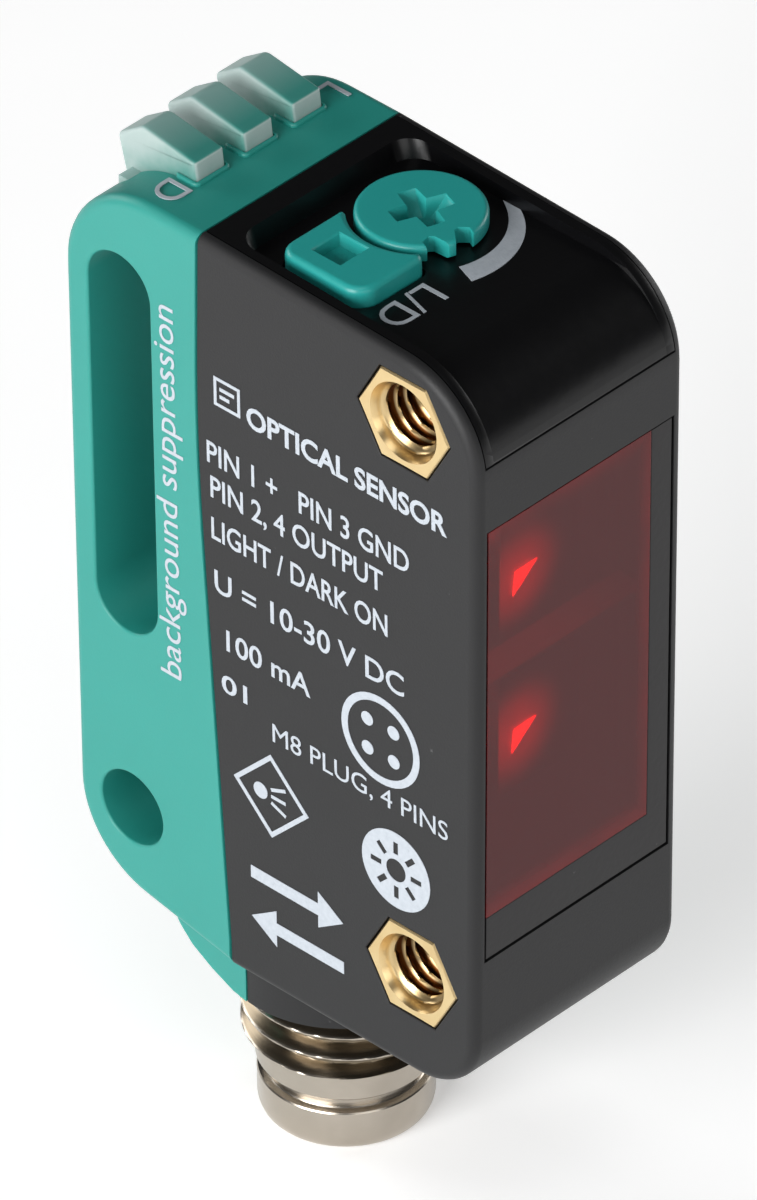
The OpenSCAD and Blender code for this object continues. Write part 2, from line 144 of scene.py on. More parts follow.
def makePiece(name, verts, faces):
    mesh = bpy.data.meshes.new(name)
    mesh.from_pydata([tuple(v) for v in verts], [], faces)
    builder = bmesh.new()
    builder.from_mesh(mesh)
    bmesh.ops.recalc_face_normals(builder, faces=builder.faces)
    builder.to_mesh(mesh)
    builder.free()
    piece = bpy.data.objects.new(name, mesh)
    scene.collection.objects.link(piece)
    return piece


def skinRings(rings, ringed, start=0):  # faces from each ring of points to the next, and back round if ringed
    count = len(rings[0])
    faces = []
    for r in range(len(rings) if ringed else len(rings) - 1):
        here, there = start + r * count, start + (r + 1) % len(rings) * count
        for k in range(count):
            after = (k + 1) % count
            faces.append((here + k, here + after, there + after, there + k))
    return faces


def ringSolid(name, rings, ringed=False):  # a skin over rings of points, capped at both ends unless ringed
    count = len(rings[0])
    verts = [point for ring in rings for point in ring]
    faces = skinRings(rings, ringed)
    if not ringed:
        faces.append(tuple(range(count))[::-1])
        faces.append(tuple(range(len(verts) - count, len(verts))))
    return makePiece(name, verts, faces)


def roundEnd(half, edge, steps=5):  # (distance out, draw-in) from the wall to the face, round a convex edge
    angles = [math.pi / 2 * k / steps for k in range(steps + 1)]
    return [(half - edge * (1 - math.sin(a)), edge * (1 - math.cos(a))) for a in angles]


def acrossSolid(name, loop, half, edge=0.0, shareAt=None, middle=0.0):  # outline in Y and Z, drawn along X
    side = roundEnd(half, edge) if edge else [(half, 0)]
    stations = [(-x, depth) for x, depth in reversed(side)] + side
    return ringSolid(name, [[(middle + x, p.x, p.y) for p in drawnIn(loop, depth, shareAt)]
                            for x, depth in stations])


def flaredCutter(loop, half, edge):  # cuts a hole through both sides and leaves its rims rounded
    side = [(x, -depth) for x, depth in roundEnd(half, edge, 3)] + [(half + 1, -edge)]
    stations = [(-x, depth) for x, depth in reversed(side)] + side
    return ringSolid("cutter", [[(x, p.x, p.y) for p in drawnIn(loop, depth)] for x, depth in stations])


def uprightSolid(name, loop, low, high, edge=0.0):  # outline in X and Y, drawn up Z, with a rounded top edge
    top = roundEnd(high, edge, 4) if edge else [(high, 0)]
    return ringSolid(name, [[(p.x, p.y, z) for p in drawnIn(loop, depth)] for z, depth in [(low, 0)] + top])


def boxCorners(low, high):
    return [(low[0], low[1]), (high[0], low[1]), (high[0], high[1]), (low[0], high[1])]


def block(low, high):
    return uprightSolid("block", [Vector(corner) for corner in boxCorners(low, high)], low[2], high[2])


def fullTurn(count):
    return [2 * math.pi * k / count for k in range(count)]


def circleLoop(centre, radius, count=48):
    return [Vector((centre[0] + radius * math.cos(a), centre[1] + radius * math.sin(a)))
            for a in fullTurn(count)]


def applyModifiers(piece):
    graph = bpy.context.evaluated_depsgraph_get()
    made = bpy.data.meshes.new_from_object(piece.evaluated_get(graph))
    old = piece.data
    piece.modifiers.clear()
    piece.data = made
    bpy.data.meshes.remove(old)


def combine(piece, other, how="DIFFERENCE"):
    step = piece.modifiers.new("combine", "BOOLEAN")
    step.operation = how
    step.solver = "EXACT"
    step.object = other
    applyModifiers(piece)
    bpy.data.objects.remove(other)


def leanWithFront(piece):  # from an upright drawing with y = 0 on the face to the leaning window face
    piece.data.transform(Matrix.Rotation(caseShape["lean"], 4, "X")
                         @ Matrix.Translation((0, caseShape["frontY"], 0)))


def finishPiece(piece, body, material, nodes=(), bevel=0.0, sharp=32):
    if bevel:
        step = piece.modifiers.new("bevel", "BEVEL")
        step.width = bevel
        step.segments = 2
        step.limit_method = "ANGLE"
        step.angle_limit = math.radians(40)
        step.miter_outer = "MITER_ARC"
        applyModifiers(piece)
    piece.data.transform(Matrix.Scale(mm, 4))
    piece.data.shade_smooth()
    piece.data.set_sharp_from_angle(angle=math.radians(sharp))
    weigh = piece.modifiers.new("even shading", "WEIGHTED_NORMAL")
    weigh.keep_sharp = True
    piece.data.materials.clear()
    piece.data.materials.append(material)
    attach(piece, body)
    if nodes:
        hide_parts(*nodes)


# Materials

def toLinear(code):  # sRGB hex to linear colour
    channels = [int(code[i:i + 2], 16) / 255 for i in (1, 3, 5)]
    return tuple(c / 12.92 if c <= 0.04045 else ((c + 0.055) / 1.055) ** 2.4 for c in channels) + (1.0,)


def addNode(tree, kind, settings=(), links=()):  # settings and links go by input name, or by attribute name
    node = tree.nodes.new(kind)
    for key, value in dict(settings).items():
        if isinstance(key, str) and hasattr(node, key):
            setattr(node, key, value)
        else:
            node.inputs[key].default_value = value
    for key, source in dict(links).items():
        tree.links.new(source, node.inputs[key])
    return node


def startMaterial(name, settings):  # a shader with its fixed values, and coordinates in metres on the piece
    material = bpy.data.materials.new(name)
    material.use_nodes = True
    tree = material.node_tree
    tree.nodes.clear()
    shader = addNode(tree, "ShaderNodeBsdfPrincipled", settings)
    addNode(tree, "ShaderNodeOutputMaterial", links={"Surface": shader.outputs["BSDF"]})
    place = addNode(tree, "ShaderNodeTexCoord").outputs["Object"]
    return material, tree, shader, place


def perMetre(size):  # pattern scale for a feature size in millimetres
    return 1 / (size * mm)


def mouldedPlastic(name, look):
    # Moulded in a spark-eroded or polished tool: a fine even grain, slow flow clouds and a few bright scuffs.
    # The real grain is nearer 0.03 mm, too fine to show, so it is drawn two to four times as coarse.
    material, tree, shader, place = startMaterial(name, look.get("shader", {}))
    grain = addNode(tree, "ShaderNodeTexNoise", {"Scale": perMetre(look["grainMm"]), "Detail": 3},
                    {"Vector": place})
    clouds = addNode(tree, "ShaderNodeTexNoise", {"Scale": perMetre(look.get("cloudMm", 6)), "Detail": 2},
                     {"Vector": place})
    colour = addNode(tree, "ShaderNodeMix", {"data_type": "RGBA", 6: toLinear(look["dark"]),
                                             7: toLinear(look["light"])}, {0: clouds.outputs["Fac"]})
    scuffs = addNode(tree, "ShaderNodeTexNoise", {"Scale": perMetre(look.get("scuffMm", 0.5)), "Detail": 4,
                                                  "Roughness": 0.7}, {"Vector": place})
    rare = addNode(tree, "ShaderNodeMapRange", {"From Min": look.get("scuffFrom", 0.7), "From Max": 0.8,
                                                "To Max": look.get("scuffAmount", 0.25)},
                   {"Value": scuffs.outputs["Fac"]})
    worn = addNode(tree, "ShaderNodeMix", {"data_type": "RGBA", 7: toLinear(look.get("scuff", "#B8B8B8"))},
                   {0: rare.outputs["Result"], 6: colour.outputs[2]})
    tree.links.new(worn.outputs[2], shader.inputs["Base Color"])
    rough = addNode(tree, "ShaderNodeMapRange", {"To Min": look["rough"] - look.get("roughSpread", 0.05),
                                                 "To Max": look["rough"] + look.get("roughSpread", 0.05)},
                    {"Value": grain.outputs["Fac"]})
    tree.links.new(rough.outputs["Result"], shader.inputs["Roughness"])
    bump = addNode(tree, "ShaderNodeBump", {"Strength": look["bump"], "Distance": look["grainMm"] * mm * 0.2},
                   {"Height": grain.outputs["Fac"]})
    tree.links.new(bump.outputs["Normal"], shader.inputs["Normal"])
    return material


# Glass-filled polycarbonate in charcoal, eroded tool: matt, a fine even grain, dull highlights
charcoalPolycarbonate = mouldedPlastic("charcoalPolycarbonate", {
    "dark": "#0F0F10", "light": "#141416", "grainMm": 0.09, "rough": 0.52, "bump": 0.35,
    "scuffMm": 0.7, "scuffFrom": 0.72, "scuffAmount": 0.3, "scuff": "#8C8C8C",
    "shader": {"IOR": 1.58, "Specular IOR Level": 0.34}})

# Polycarbonate in blue-green, eroded tool: satin, a little light gets into it at thin edges
tealPolycarbonate = mouldedPlastic("tealPolycarbonate", {
    "dark": "#1E857B", "light": "#238B81", "grainMm": 0.1, "rough": 0.45, "bump": 0.2,
    "scuffFrom": 0.76, "scuffAmount": 0.15, "scuff": "#9FD6CC",
    "shader": {"IOR": 1.58, "Specular IOR Level": 0.42, "Subsurface Weight": 0.12,
               "Subsurface Radius": (0.3, 1.0, 0.85), "Subsurface Scale": 0.0006}})

# Polycarbonate in black, polished tool: glossy, faint orange peel and a little dust
glossPanel = mouldedPlastic("glossBlackPolycarbonate", {
    "dark": "#060607", "light": "#08080A", "grainMm": 0.5, "rough": 0.3, "roughSpread": 0.03, "bump": 0.08,
    "scuffMm": 0.35, "scuffFrom": 0.74, "scuffAmount": 0.12, "scuff": "#787878",
    "shader": {"IOR": 1.58, "Specular IOR Level": 0.3}})

# Acetal in blue-green, moulded: waxy, soft highlights, slightly deeper in colour than the case
tealAcetal = mouldedPlastic("tealAcetal", {
    "dark": "#229691", "light": "#289E99", "grainMm": 0.12, "rough": 0.36, "bump": 0.15,
    "scuffFrom": 0.78, "scuffAmount": 0.1, "scuff": "#8FD0C6",
    "shader": {"IOR": 1.48, "Subsurface Weight": 0.15, "Subsurface Radius": (0.25, 1.0, 0.9),
               "Subsurface Scale": 0.0004}})

# Polyamide in black, moulded: the carrier, the plug's insulator and the switch
blackPolyamide = mouldedPlastic("blackPolyamide", {
    "dark": "#121213", "light": "#19191B", "grainMm": 0.12, "rough": 0.55, "bump": 0.3})

# Nitrile rubber, moulded: dead matt seals
nitrileRubber = mouldedPlastic("nitrileRubber", {
    "dark": "#101010", "light": "#161616", "grainMm": 0.08, "rough": 0.75, "bump": 0.4})

# Glass epoxy with green solder mask, screen printed: thin gloss over a woven cloth
solderMask = mouldedPlastic("solderMaskedEpoxy", {
    "dark": "#0E4A26", "light": "#14592F", "grainMm": 0.25, "rough": 0.3, "bump": 0.25})

# Filled epoxy, transfer moulded: the processor chip, matt near-black
mouldedEpoxy = mouldedPlastic("mouldedEpoxy", {
    "dark": "#1D1D20", "light": "#26262A", "grainMm": 0.06, "rough": 0.6, "bump": 0.3})

# Thermoset resin, moulded: the trimmer's matt blue body
trimmerResin = mouldedPlastic("trimmerResin", {
    "dark": "#234676", "light": "#2C5288", "grainMm": 0.1, "rough": 0.5, "bump": 0.2})

# Nylon, moulded: the trimmer's off-white rotor, soft and even
whiteNylon = mouldedPlastic("whiteNylon", {
    "dark": "#C9C8BE", "light": "#D9D8CF", "grainMm": 0.1, "rough": 0.5, "bump": 0.2})

# Filled polyester, moulded: the switch under the button, plain mid-grey
greyResin = mouldedPlastic("greyResin", {
    "dark": "#7D7D80", "light": "#8A8A8D", "grainMm": 0.1, "rough": 0.5, "bump": 0.2})

# Epoxy with a pale filler, cast: the diodes' glossy cream bodies
diodeResin = mouldedPlastic("diodeResin", {
    "dark": "#D8D6C8", "light": "#E6E4D8", "grainMm": 0.15, "rough": 0.25, "bump": 0.1})

# Ceramic, fired: the board's small chips, sandy and dull
firedCeramic = mouldedPlastic("firedCeramic", {
    "dark": "#8D7148", "light": "#A58859", "grainMm": 0.08, "rough": 0.55, "bump": 0.3})

# Polyimide film, rolled: the strip between the boards, glossy amber
polyimideFilm = mouldedPlastic("polyimideFilm", {
    "dark": "#9A5A12", "light": "#B06E1E", "grainMm": 0.3, "rough": 0.3, "bump": 0.1})

# Dyed epoxy, cast: the receiver's dark violet face, nearly polished
receiverResin = mouldedPlastic("receiverResin", {
    "dark": "#1C1226", "light": "#261A33", "grainMm": 0.2, "rough": 0.2, "bump": 0.1})

# Pad-printing ink, light grey: thin, matt, broken up a little where the grain shows through
printInk = mouldedPlastic("padPrintInk", {
    "dark": "#9FA6AE", "light": "#B4BAC1", "grainMm": 0.1, "cloudMm": 0.25, "rough": 0.6, "bump": 0.4,
    "scuffMm": 0.18, "scuffFrom": 0.6, "scuffAmount": 0.5, "scuff": "#7C8288"})


def turnedMetal(name, look):
    # Turned on a lathe round the given axis: fine rings from the tool, which stretch the highlights
    material, tree, shader, place = startMaterial(name, {"Metallic": 1.0})
    parts = addNode(tree, "ShaderNodeSeparateXYZ", links={"Vector": place})
    acrossOne, acrossTwo, along = (parts.outputs[a] for a in look["axes"])
    lifted = addNode(tree, "ShaderNodeMath", {"operation": "ABSOLUTE"}, {0: acrossTwo})
    centred = addNode(tree, "ShaderNodeMath", {"operation": "SUBTRACT", 1: look["centre"][1] * mm},
                      {0: lifted.outputs[0] if look["mirrored"] else acrossTwo})
    other = addNode(tree, "ShaderNodeMath", {"operation": "SUBTRACT", 1: look["centre"][0] * mm},
                    {0: acrossOne})
    flat = addNode(tree, "ShaderNodeCombineXYZ", links={0: other.outputs[0], 1: centred.outputs[0]})
    radius = addNode(tree, "ShaderNodeVectorMath", {"operation": "LENGTH"}, {0: flat.outputs[0]})
    rings = addNode(tree, "ShaderNodeCombineXYZ", links={0: radius.outputs["Value"], 1: along})
    lines = addNode(tree, "ShaderNodeTexNoise", {"Scale": perMetre(look["lineMm"]), "Detail": 3},
                    {"Vector": rings.outputs[0]})
    stain = addNode(tree, "ShaderNodeTexNoise", {"Scale": perMetre(1.2), "Detail": 4}, {"Vector": place})
    colour = addNode(tree, "ShaderNodeMix", {"data_type": "RGBA", 6: toLinear(look["dark"]),
                                             7: toLinear(look["light"])}, {0: stain.outputs["Fac"]})
    shade = colour.outputs[2]
    if "deep" in look:  # painted shade: the colour turns dark deep in the bore and down in the thread roots, where little light reaches
        inward = addNode(tree, "ShaderNodeMath", {"operation": "ABSOLUTE"}, {0: along})
        ramps = []
        # the painted shade grows with depth along the axis and with radius into the roots; deep is its colour
        for source, key in ((inward.outputs[0], "deepAlong"), (radius.outputs["Value"], "deepRadius")):
            start, end = look[key]
            ramps.append(addNode(tree, "ShaderNodeMapRange", {"From Min": start * mm, "From Max": end * mm},
                                 {"Value": source}).outputs["Result"])
        both = addNode(tree, "ShaderNodeMath", {"operation": "MULTIPLY"}, {0: ramps[0], 1: ramps[1]})
        shade = addNode(tree, "ShaderNodeMix", {"data_type": "RGBA", 7: toLinear(look["deep"])},
                        {0: both.outputs[0], 6: shade}).outputs[2]
    tree.links.new(shade, shader.inputs["Base Color"])
    spread = 0.07
    rough = addNode(tree, "ShaderNodeMapRange", {"To Min": look["rough"] - spread,
                                                 "To Max": look["rough"] + spread},
                    {"Value": lines.outputs["Fac"]})
    tree.links.new(rough.outputs["Result"], shader.inputs["Roughness"])
    bump = addNode(tree, "ShaderNodeBump", {"Strength": look["bump"], "Distance": 0.01 * mm},
                   {"Height": lines.outputs["Fac"]})
    tree.links.new(bump.outputs["Normal"], shader.inputs["Normal"])
    return material


# Free-cutting brass, turned and tapped: warm pale yellow, tool rings round each bore, and painted shade in
# dark brown deep inside each bore
turnedBrass = turnedMetal("turnedBrass", {
    "dark": "#DBBC85", "light": "#EED6A4", "lineMm": 0.07, "rough": 0.3, "bump": 0.35,
    "deep": "#3E1F08", "deepAlong": (insertHigh.x - 0.3, insertHigh.x - 0.8), "deepRadius": (1.2, 1.37),
    "axes": ("Y", "Z", "X"), "centre": (0, insertZ), "mirrored": True})

# Nickel plate over turned brass: warm grey, fine rings, a soft mirror, and painted shade in the thread roots
nickelPlate = turnedMetal("nickelPlate", {
    "dark": "#A79E92", "light": "#BDB5A9", "lineMm": 0.08, "rough": 0.24, "bump": 0.3,
    "deep": "#7A6F5E", "deepAlong": (22.98, 22.86), "deepRadius": (3.985, 3.9),
    "axes": ("X", "Y", "Z"), "centre": (0, plugY), "mirrored": False})

# Gold flash over turned brass: the contact pins, deep yellow and bright
goldFlash = turnedMetal("goldFlash", {
    "dark": "#D4A54E", "light": "#E3B866", "lineMm": 0.06, "rough": 0.2, "bump": 0.2,
    "axes": ("X", "Y", "Z"), "centre": (0, plugY), "mirrored": False})

# Spring steel, rolled and stamped: the snap dome, a cool soft mirror
domeY = 5.65
springSteel = turnedMetal("springSteel", {
    "dark": "#A9A8A4", "light": "#BDBCB8", "lineMm": 0.05, "rough": 0.28, "bump": 0.2,
    "axes": ("X", "Y", "Z"), "centre": (0, domeY), "mirrored": False})

# Tinned copper wire, drawn: the pins' leads, pale grey and satin
tinnedCopper = turnedMetal("tinnedCopper", {
    "dark": "#B0AEA8", "light": "#C4C2BC", "lineMm": 0.1, "rough": 0.35, "bump": 0.2,
    "axes": ("X", "Y", "Z"), "centre": (0, plugY), "mirrored": False})

pipeLook = {
    "sides": ("#37877C", "#A3B3B0"), "tops": ("#37837A", "#93ACA8"),  # from the case's colour to milky
    # glow is the strength of a painted glow in the pipe's own colour
    "paintedGlow": 0.13, "cloudMm": 0.9, "blastMm": 0.08,
    "heights": (15.6, 17.0, 0.5), "depths": (13.1, 15.9, 0.7),  # milkier upwards and backwards, by how much
    "forward": (-0.55, -0.9, 0.5),  # and where a face looks forwards
    "upward": (0.55, 0.9), "topDepths": (13.2, 16.4)}  # what counts as a top, and where the tops turn milky


def frostedPipe(look):
    # Polycarbonate with a blasted surface: milky where it stands clear, with the case's colour at its foot. A
    # faint emission in its own colour is painted light, lifting the faces that neighbouring ribs shade.
    material, tree, shader, place = startMaterial("frostedPolycarbonate", {
        "Roughness": 0.42, "IOR": 1.58, "Specular IOR Level": 0.35, "Subsurface Weight": 0.5,
        "Subsurface Radius": (1.0, 1.0, 1.0), "Subsurface Scale": 0.0008, "Transmission Weight": 0.15,
        "Emission Strength": look["paintedGlow"]})
    parts = addNode(tree, "ShaderNodeSeparateXYZ", links={"Vector": place})
    facing = addNode(tree, "ShaderNodeSeparateXYZ",
                     links={"Vector": addNode(tree, "ShaderNodeNewGeometry").outputs["Normal"]})
    clouds = addNode(tree, "ShaderNodeTexNoise", {"Scale": perMetre(look["cloudMm"]), "Detail": 3},
                     {"Vector": place})
    milk = addNode(tree, "ShaderNodeMath", {"operation": "MULTIPLY_ADD", 1: 0.4, 2: -0.2},
                   {0: clouds.outputs["Fac"]})
    for key, source, unit in (("heights", parts.outputs["Z"], mm), ("depths", parts.outputs["Y"], mm),
                              ("forward", facing.outputs["Y"], 1)):
        start, end, amount = look[key]
        ramp = addNode(tree, "ShaderNodeMapRange", {"From Min": start * unit, "From Max": end * unit,
                                                    "To Max": amount}, {"Value": source})
        milk = addNode(tree, "ShaderNodeMath", {"operation": "ADD"},
                       {0: milk.outputs[0], 1: ramp.outputs["Result"]})
    cloudy = addNode(tree, "ShaderNodeMapRange", {"interpolation_type": "SMOOTHSTEP"},
                     {"Value": milk.outputs[0]})
    start, end = look["upward"]
    upward = addNode(tree, "ShaderNodeMapRange", {"From Min": start, "From Max": end},
                     {"Value": facing.outputs["Z"]})
    start, end = look["topDepths"]
    back = addNode(tree, "ShaderNodeMapRange", {"From Min": start * mm, "From Max": end * mm},
                   {"Value": parts.outputs["Y"]})
    faces = []
    for key, share in (("sides", cloudy), ("tops", back)):
        plain, milky = (toLinear(code) for code in look[key])
        faces.append(addNode(tree, "ShaderNodeMix", {"data_type": "RGBA", 6: plain, 7: milky},
                             {0: share.outputs["Result"]}))
    colour = addNode(tree, "ShaderNodeMix", {"data_type": "RGBA"},
                     {0: upward.outputs["Result"], 6: faces[0].outputs[2], 7: faces[1].outputs[2]})
    tree.links.new(colour.outputs[2], shader.inputs["Base Color"])
    tree.links.new(colour.outputs[2], shader.inputs["Emission Color"])
    blast = addNode(tree, "ShaderNodeTexNoise", {"Scale": perMetre(look["blastMm"]), "Detail": 2},
                    {"Vector": place})
    bump = addNode(tree, "ShaderNodeBump", {"Strength": 0.2, "Distance": 0.01 * mm},
                   {"Height": blast.outputs["Fac"]})
    tree.links.new(bump.outputs["Normal"], shader.inputs["Normal"])
    return material


redLook = {
    "dim": "#641619", "lit": "#A3181C", "cloudMm": 2.5,
    "edges": (("X", 2.9, 4.0), ("Z", 8.3, 9.6), ("Z", -7.4, -8.8))}  # where it starts to redden, and reddest


def redAcrylic(look):
    # Cast acrylic, dyed deep red and polished: a smooth face over a dim depth, redder towards its lit edges
    material, tree, shader, place = startMaterial("redAcrylic", {
        "Roughness": 0.1, "IOR": 1.49, "Specular IOR Level": 0.06, "Transmission Weight": 0.5})
    parts = addNode(tree, "ShaderNodeSeparateXYZ", links={"Vector": place})
    clouds = addNode(tree, "ShaderNodeTexNoise", {"Scale": perMetre(look["cloudMm"]), "Detail": 3},
                     {"Vector": place})
    nearest = None
    for axis, start, end in look["edges"]:
        edge = addNode(tree, "ShaderNodeMapRange", {"From Min": start * mm, "From Max": end * mm,
                                                    "interpolation_type": "SMOOTHSTEP"},
                       {"Value": parts.outputs[axis]}).outputs["Result"]
        if nearest is not None:
            edge = addNode(tree, "ShaderNodeMath", {"operation": "MAXIMUM"}, {0: nearest, 1: edge}).outputs[0]
        nearest = edge
    broken = addNode(tree, "ShaderNodeMath", {"operation": "MULTIPLY"},
                     {0: nearest, 1: clouds.outputs["Fac"]})
    colour = addNode(tree, "ShaderNodeMix", {"data_type": "RGBA", 6: toLinear(look["dim"]),
                                             7: toLinear(look["lit"])}, {0: broken.outputs[0]})
    tree.links.new(colour.outputs[2], shader.inputs["Base Color"])
    return material


def clearAcrylic():
    # Moulded optical acrylic: clear, faintly grey, with shallow flow marks
    material, tree, shader, place = startMaterial("clearAcrylic", {
        "Base Color": toLinear("#D9E2E6"), "IOR": 1.49, "Transmission Weight": 0.8})
    flow = addNode(tree, "ShaderNodeTexNoise", {"Scale": perMetre(1.5), "Detail": 2}, {"Vector": place})
    rough = addNode(tree, "ShaderNodeMapRange", {"To Min": 0.05, "To Max": 0.15},
                    {"Value": flow.outputs["Fac"]})
    tree.links.new(rough.outputs["Result"], shader.inputs["Roughness"])
    return material


def paintedGlowMaterial(name, look):
    # Painted glow: dark polished polyamide given a red emission that stands in for the diode's light caught
    # on it, falling off from the brightest corner
    material, tree, shader, place = startMaterial(name, {"Base Color": toLinear("#2A0506"), "Roughness": 0.3})
    brightest = Vector(look["brightest"]) * mm
    away = addNode(tree, "ShaderNodeVectorMath", {"operation": "DISTANCE", 1: brightest}, {0: place})
    fall = addNode(tree, "ShaderNodeMapRange", {"From Max": look["reachMm"] * mm, "To Min": look["strength"],
                                                "To Max": 0, "interpolation_type": "SMOOTHERSTEP"},
                   {"Value": away.outputs["Value"]})
    flicker = addNode(tree, "ShaderNodeTexNoise", {"Scale": perMetre(0.8), "Detail": 2}, {"Vector": place})
    colour = addNode(tree, "ShaderNodeMix", {"data_type": "RGBA", 6: toLinear("#D81A12"),
                                             7: toLinear("#FF3A2C")}, {0: flicker.outputs["Fac"]})
    tree.links.new(colour.outputs[2], shader.inputs["Emission Color"])
    tree.links.new(fall.outputs["Result"], shader.inputs["Emission Strength"])
    return material


frostedPolycarbonate = frostedPipe(pipeLook)
redAcrylicPane = redAcrylic(redLook)
clearAcrylicLens = clearAcrylic()

# The window's acrylic where it is back-printed in black: the dark band beside and below the clear part
backPrintedAcrylic = mouldedPlastic("backPrintedAcrylic", {
    "dark": "#171617", "light": "#1C1A1B", "grainMm": 0.3, "rough": 0.3, "bump": 0.1,
    "shader": {"IOR": 1.49, "Specular IOR Level": 0.27}})
print("materials made")

# The case, as two moulded halves with the light pipe between them

seamEdges = {"share": 0.12, "nearY": 0.35}  # the seam's own edges are only just broken


def seamYAt(z):  # where the seam runs at this height, straight between its three points
    middleY, middleZ = caseShape["seamMid"]
    footY, footZ = caseShape["seamFoot"]
    upperY, upperZ = caseShape["seamTopY"], topAt(10)
    if z > middleZ:
        return upperY + (middleY - upperY) * (upperZ - z) / (upperZ - middleZ)
    return middleY + (footY - middleY) * (z - middleZ) / (footZ - middleZ)


def seamShare(point):
    return seamEdges["share"] if abs(point.x - seamYAt(point.y)) < seamEdges["nearY"] else 1


def frontLoop():
    shape = caseShape
    topFrontY = frontAt(shape["topZ"])
    footY, footZ = shape["seamFoot"]
    corners = [(frontAt(shape["bottomZ"]), shape["bottomZ"]), (topFrontY, topAt(topFrontY)),
               (shape["seamTopY"], topAt(shape["seamTopY"])), shape["seamMid"], (footY, footZ),
               (footY, shape["bottomZ"])]
    return roundedLoop(corners, [shape["frontBottomR"], shape["frontTopR"], 0, shape["seamBendR"], 0, 0], 16)


def rearLoop():
    shape = caseShape
    topZ, bottomZ = topAt(shape["seamTopY"]), shape["rearBottomZ"]
    footY, footZ = shape["seamFoot"]
    midY, midZ = shape["seamMid"]
    gap, backY = shape["seamGap"], shape["backY"]
    corners = [(shape["seamTopY"] + gap, topZ), (backY, topZ),
               (backY, bottomZ + (backY - footY) * math.tan(shape["rearRise"])),
               (footY + gap, bottomZ), (footY + gap, footZ), (midY + gap, midZ)]
    return roundedLoop(corners, [0, shape["rearTopR"], shape["rearBottomR"], 0, 0, shape["seamBendR"]], 16)


cavity = {"half": 4.5, "frontY": -1.4, "backY": 12.2, "low": -16.2, "high": 14.15}
collar = {
    "radius": 4.7, "low": -19.55, "highFront": -16.6, "highRear": -16.4,
    "bore": 3.66, "boreLow": -20.5, "boreHighFront": -15, "boreHighRear": -16,
    "flangeR": 4.45, "flangeLow": -16.3, "flangeHigh": -15.3}  # the recess that holds the plug shell's flange
bosses = {"wall": 0.66, "inset": 0.6, "frontY": -2.9, "backY": 4, "highZ": 14.1, "fit": 0.07, "rim": 0.06}
windowSeat = {"fit": 0.07, "fitBelow": 0.04, "deep": 1.5, "ledge": 0.65, "through": 3.1}
panelShape = {
    "half": 5.05, "fit": 0.05, "gap": 0.1, "lipZ": 12.22, "thick": 1.0, "floorZ": 15.15, "frontR": 3.3,
    "underR": 1.2, "backGap": 0.03, "trayHalf": 4.6, "trayBackY": 9.1, "trayCornerR": 1.0, "trayFit": 0.02,
    "backSlope": 0.35, "backSlopeZ": 16.2, "lipBackY": 2, "reliefY": 1.6, "reliefZ": 14.78,
    "stemHoleR": 1.26, "wellFit": 0.09}


def hexLoop(middleZ, corner, perSide=6):  # two flats level, corners along Y
    loop = []
    for angle in fullTurn(6 * perSide):
        reach = corner * math.cos(math.pi / 6) / math.cos(angle % (math.pi / 3) - math.pi / 6)
        loop.append(Vector((reach * math.cos(angle), middleZ + reach * math.sin(angle))))
    return loop


def windowBlock(low, high):  # a block in the leaning frame of the window face
    piece = block(low, high)
    leanWithFront(piece)
    return piece


def aroundPlug(name, radius, low, high, count=64):  # a cylinder on the plug's own axis
    return uprightSolid(name, circleLoop((0, plugY), radius, count), low, high)


def addCollarHalf(housing, fromY, toY, high):
    tube = aroundPlug("tube", collar["radius"], collar["low"], high, 96)
    combine(tube, block((-beyond, fromY, -beyond), (beyond, toY, 0)), "INTERSECT")
    combine(housing, tube, "UNION")


def panelOpening():
    backY = frontAt(panelShape["lipZ"]) + panelShape["thick"] + panelShape["fit"]
    lowZ = panelShape["lipZ"] - panelShape["gap"]
    floorZ = panelShape["floorZ"] - panelShape["thick"] - panelShape["fit"]
    corners = [(beyond, beyond), (-beyond, beyond), (-beyond, lowZ), (backY, lowZ), (backY, floorZ),
               (beyond, floorZ)]
    return [Vector(corner) for corner in corners]


def buildFrontHousing():
    housing = acrossSolid("frontHousing", frontLoop(), caseHalf, caseShape["edgeR"], seamShare)
    combine(housing, block((-cavity["half"], cavity["frontY"], cavity["low"]),
                           (cavity["half"], beyond, cavity["high"])))
    for side in (-1, 1):  # the bosses that carry the inserts through the case
        outline = hexLoop(side * insertZ, insertCorner + bosses["wall"], 1)
        boss = acrossSolid("boss", outline, caseHalf - bosses["inset"])
        combine(boss, block((-beyond, bosses["frontY"], -beyond), (beyond, bosses["backY"], bosses["highZ"])),
                "INTERSECT")
        combine(housing, boss, "UNION")
    addCollarHalf(housing, -beyond, caseShape["seamFoot"][0], collar["highFront"])
    combine(housing, acrossSolid("opening", panelOpening(), panelShape["half"]))
    half, ledge = windowHigh.x + windowSeat["fit"], windowSeat["ledge"]
    lowZ, highZ = windowLow.z - windowSeat["fitBelow"], windowHigh.z + windowSeat["fit"]
    combine(housing, windowBlock((-half, -1, lowZ), (half, windowSeat["deep"], highZ)))
    combine(housing, windowBlock((-half + ledge, 0, lowZ + ledge),
                                 (half - ledge, windowSeat["through"], highZ - ledge)))
    for side in (-1, 1):
        hexagon = hexLoop(side * insertZ, insertCorner + bosses["fit"], 1)
        combine(housing, flaredCutter(hexagon, caseHalf, bosses["rim"]))
    combine(housing, aroundPlug("bore", collar["bore"], collar["boreLow"], collar["boreHighFront"]))
    finishPiece(housing, "sensor_body", charcoalPolycarbonate, ["front_housing"])


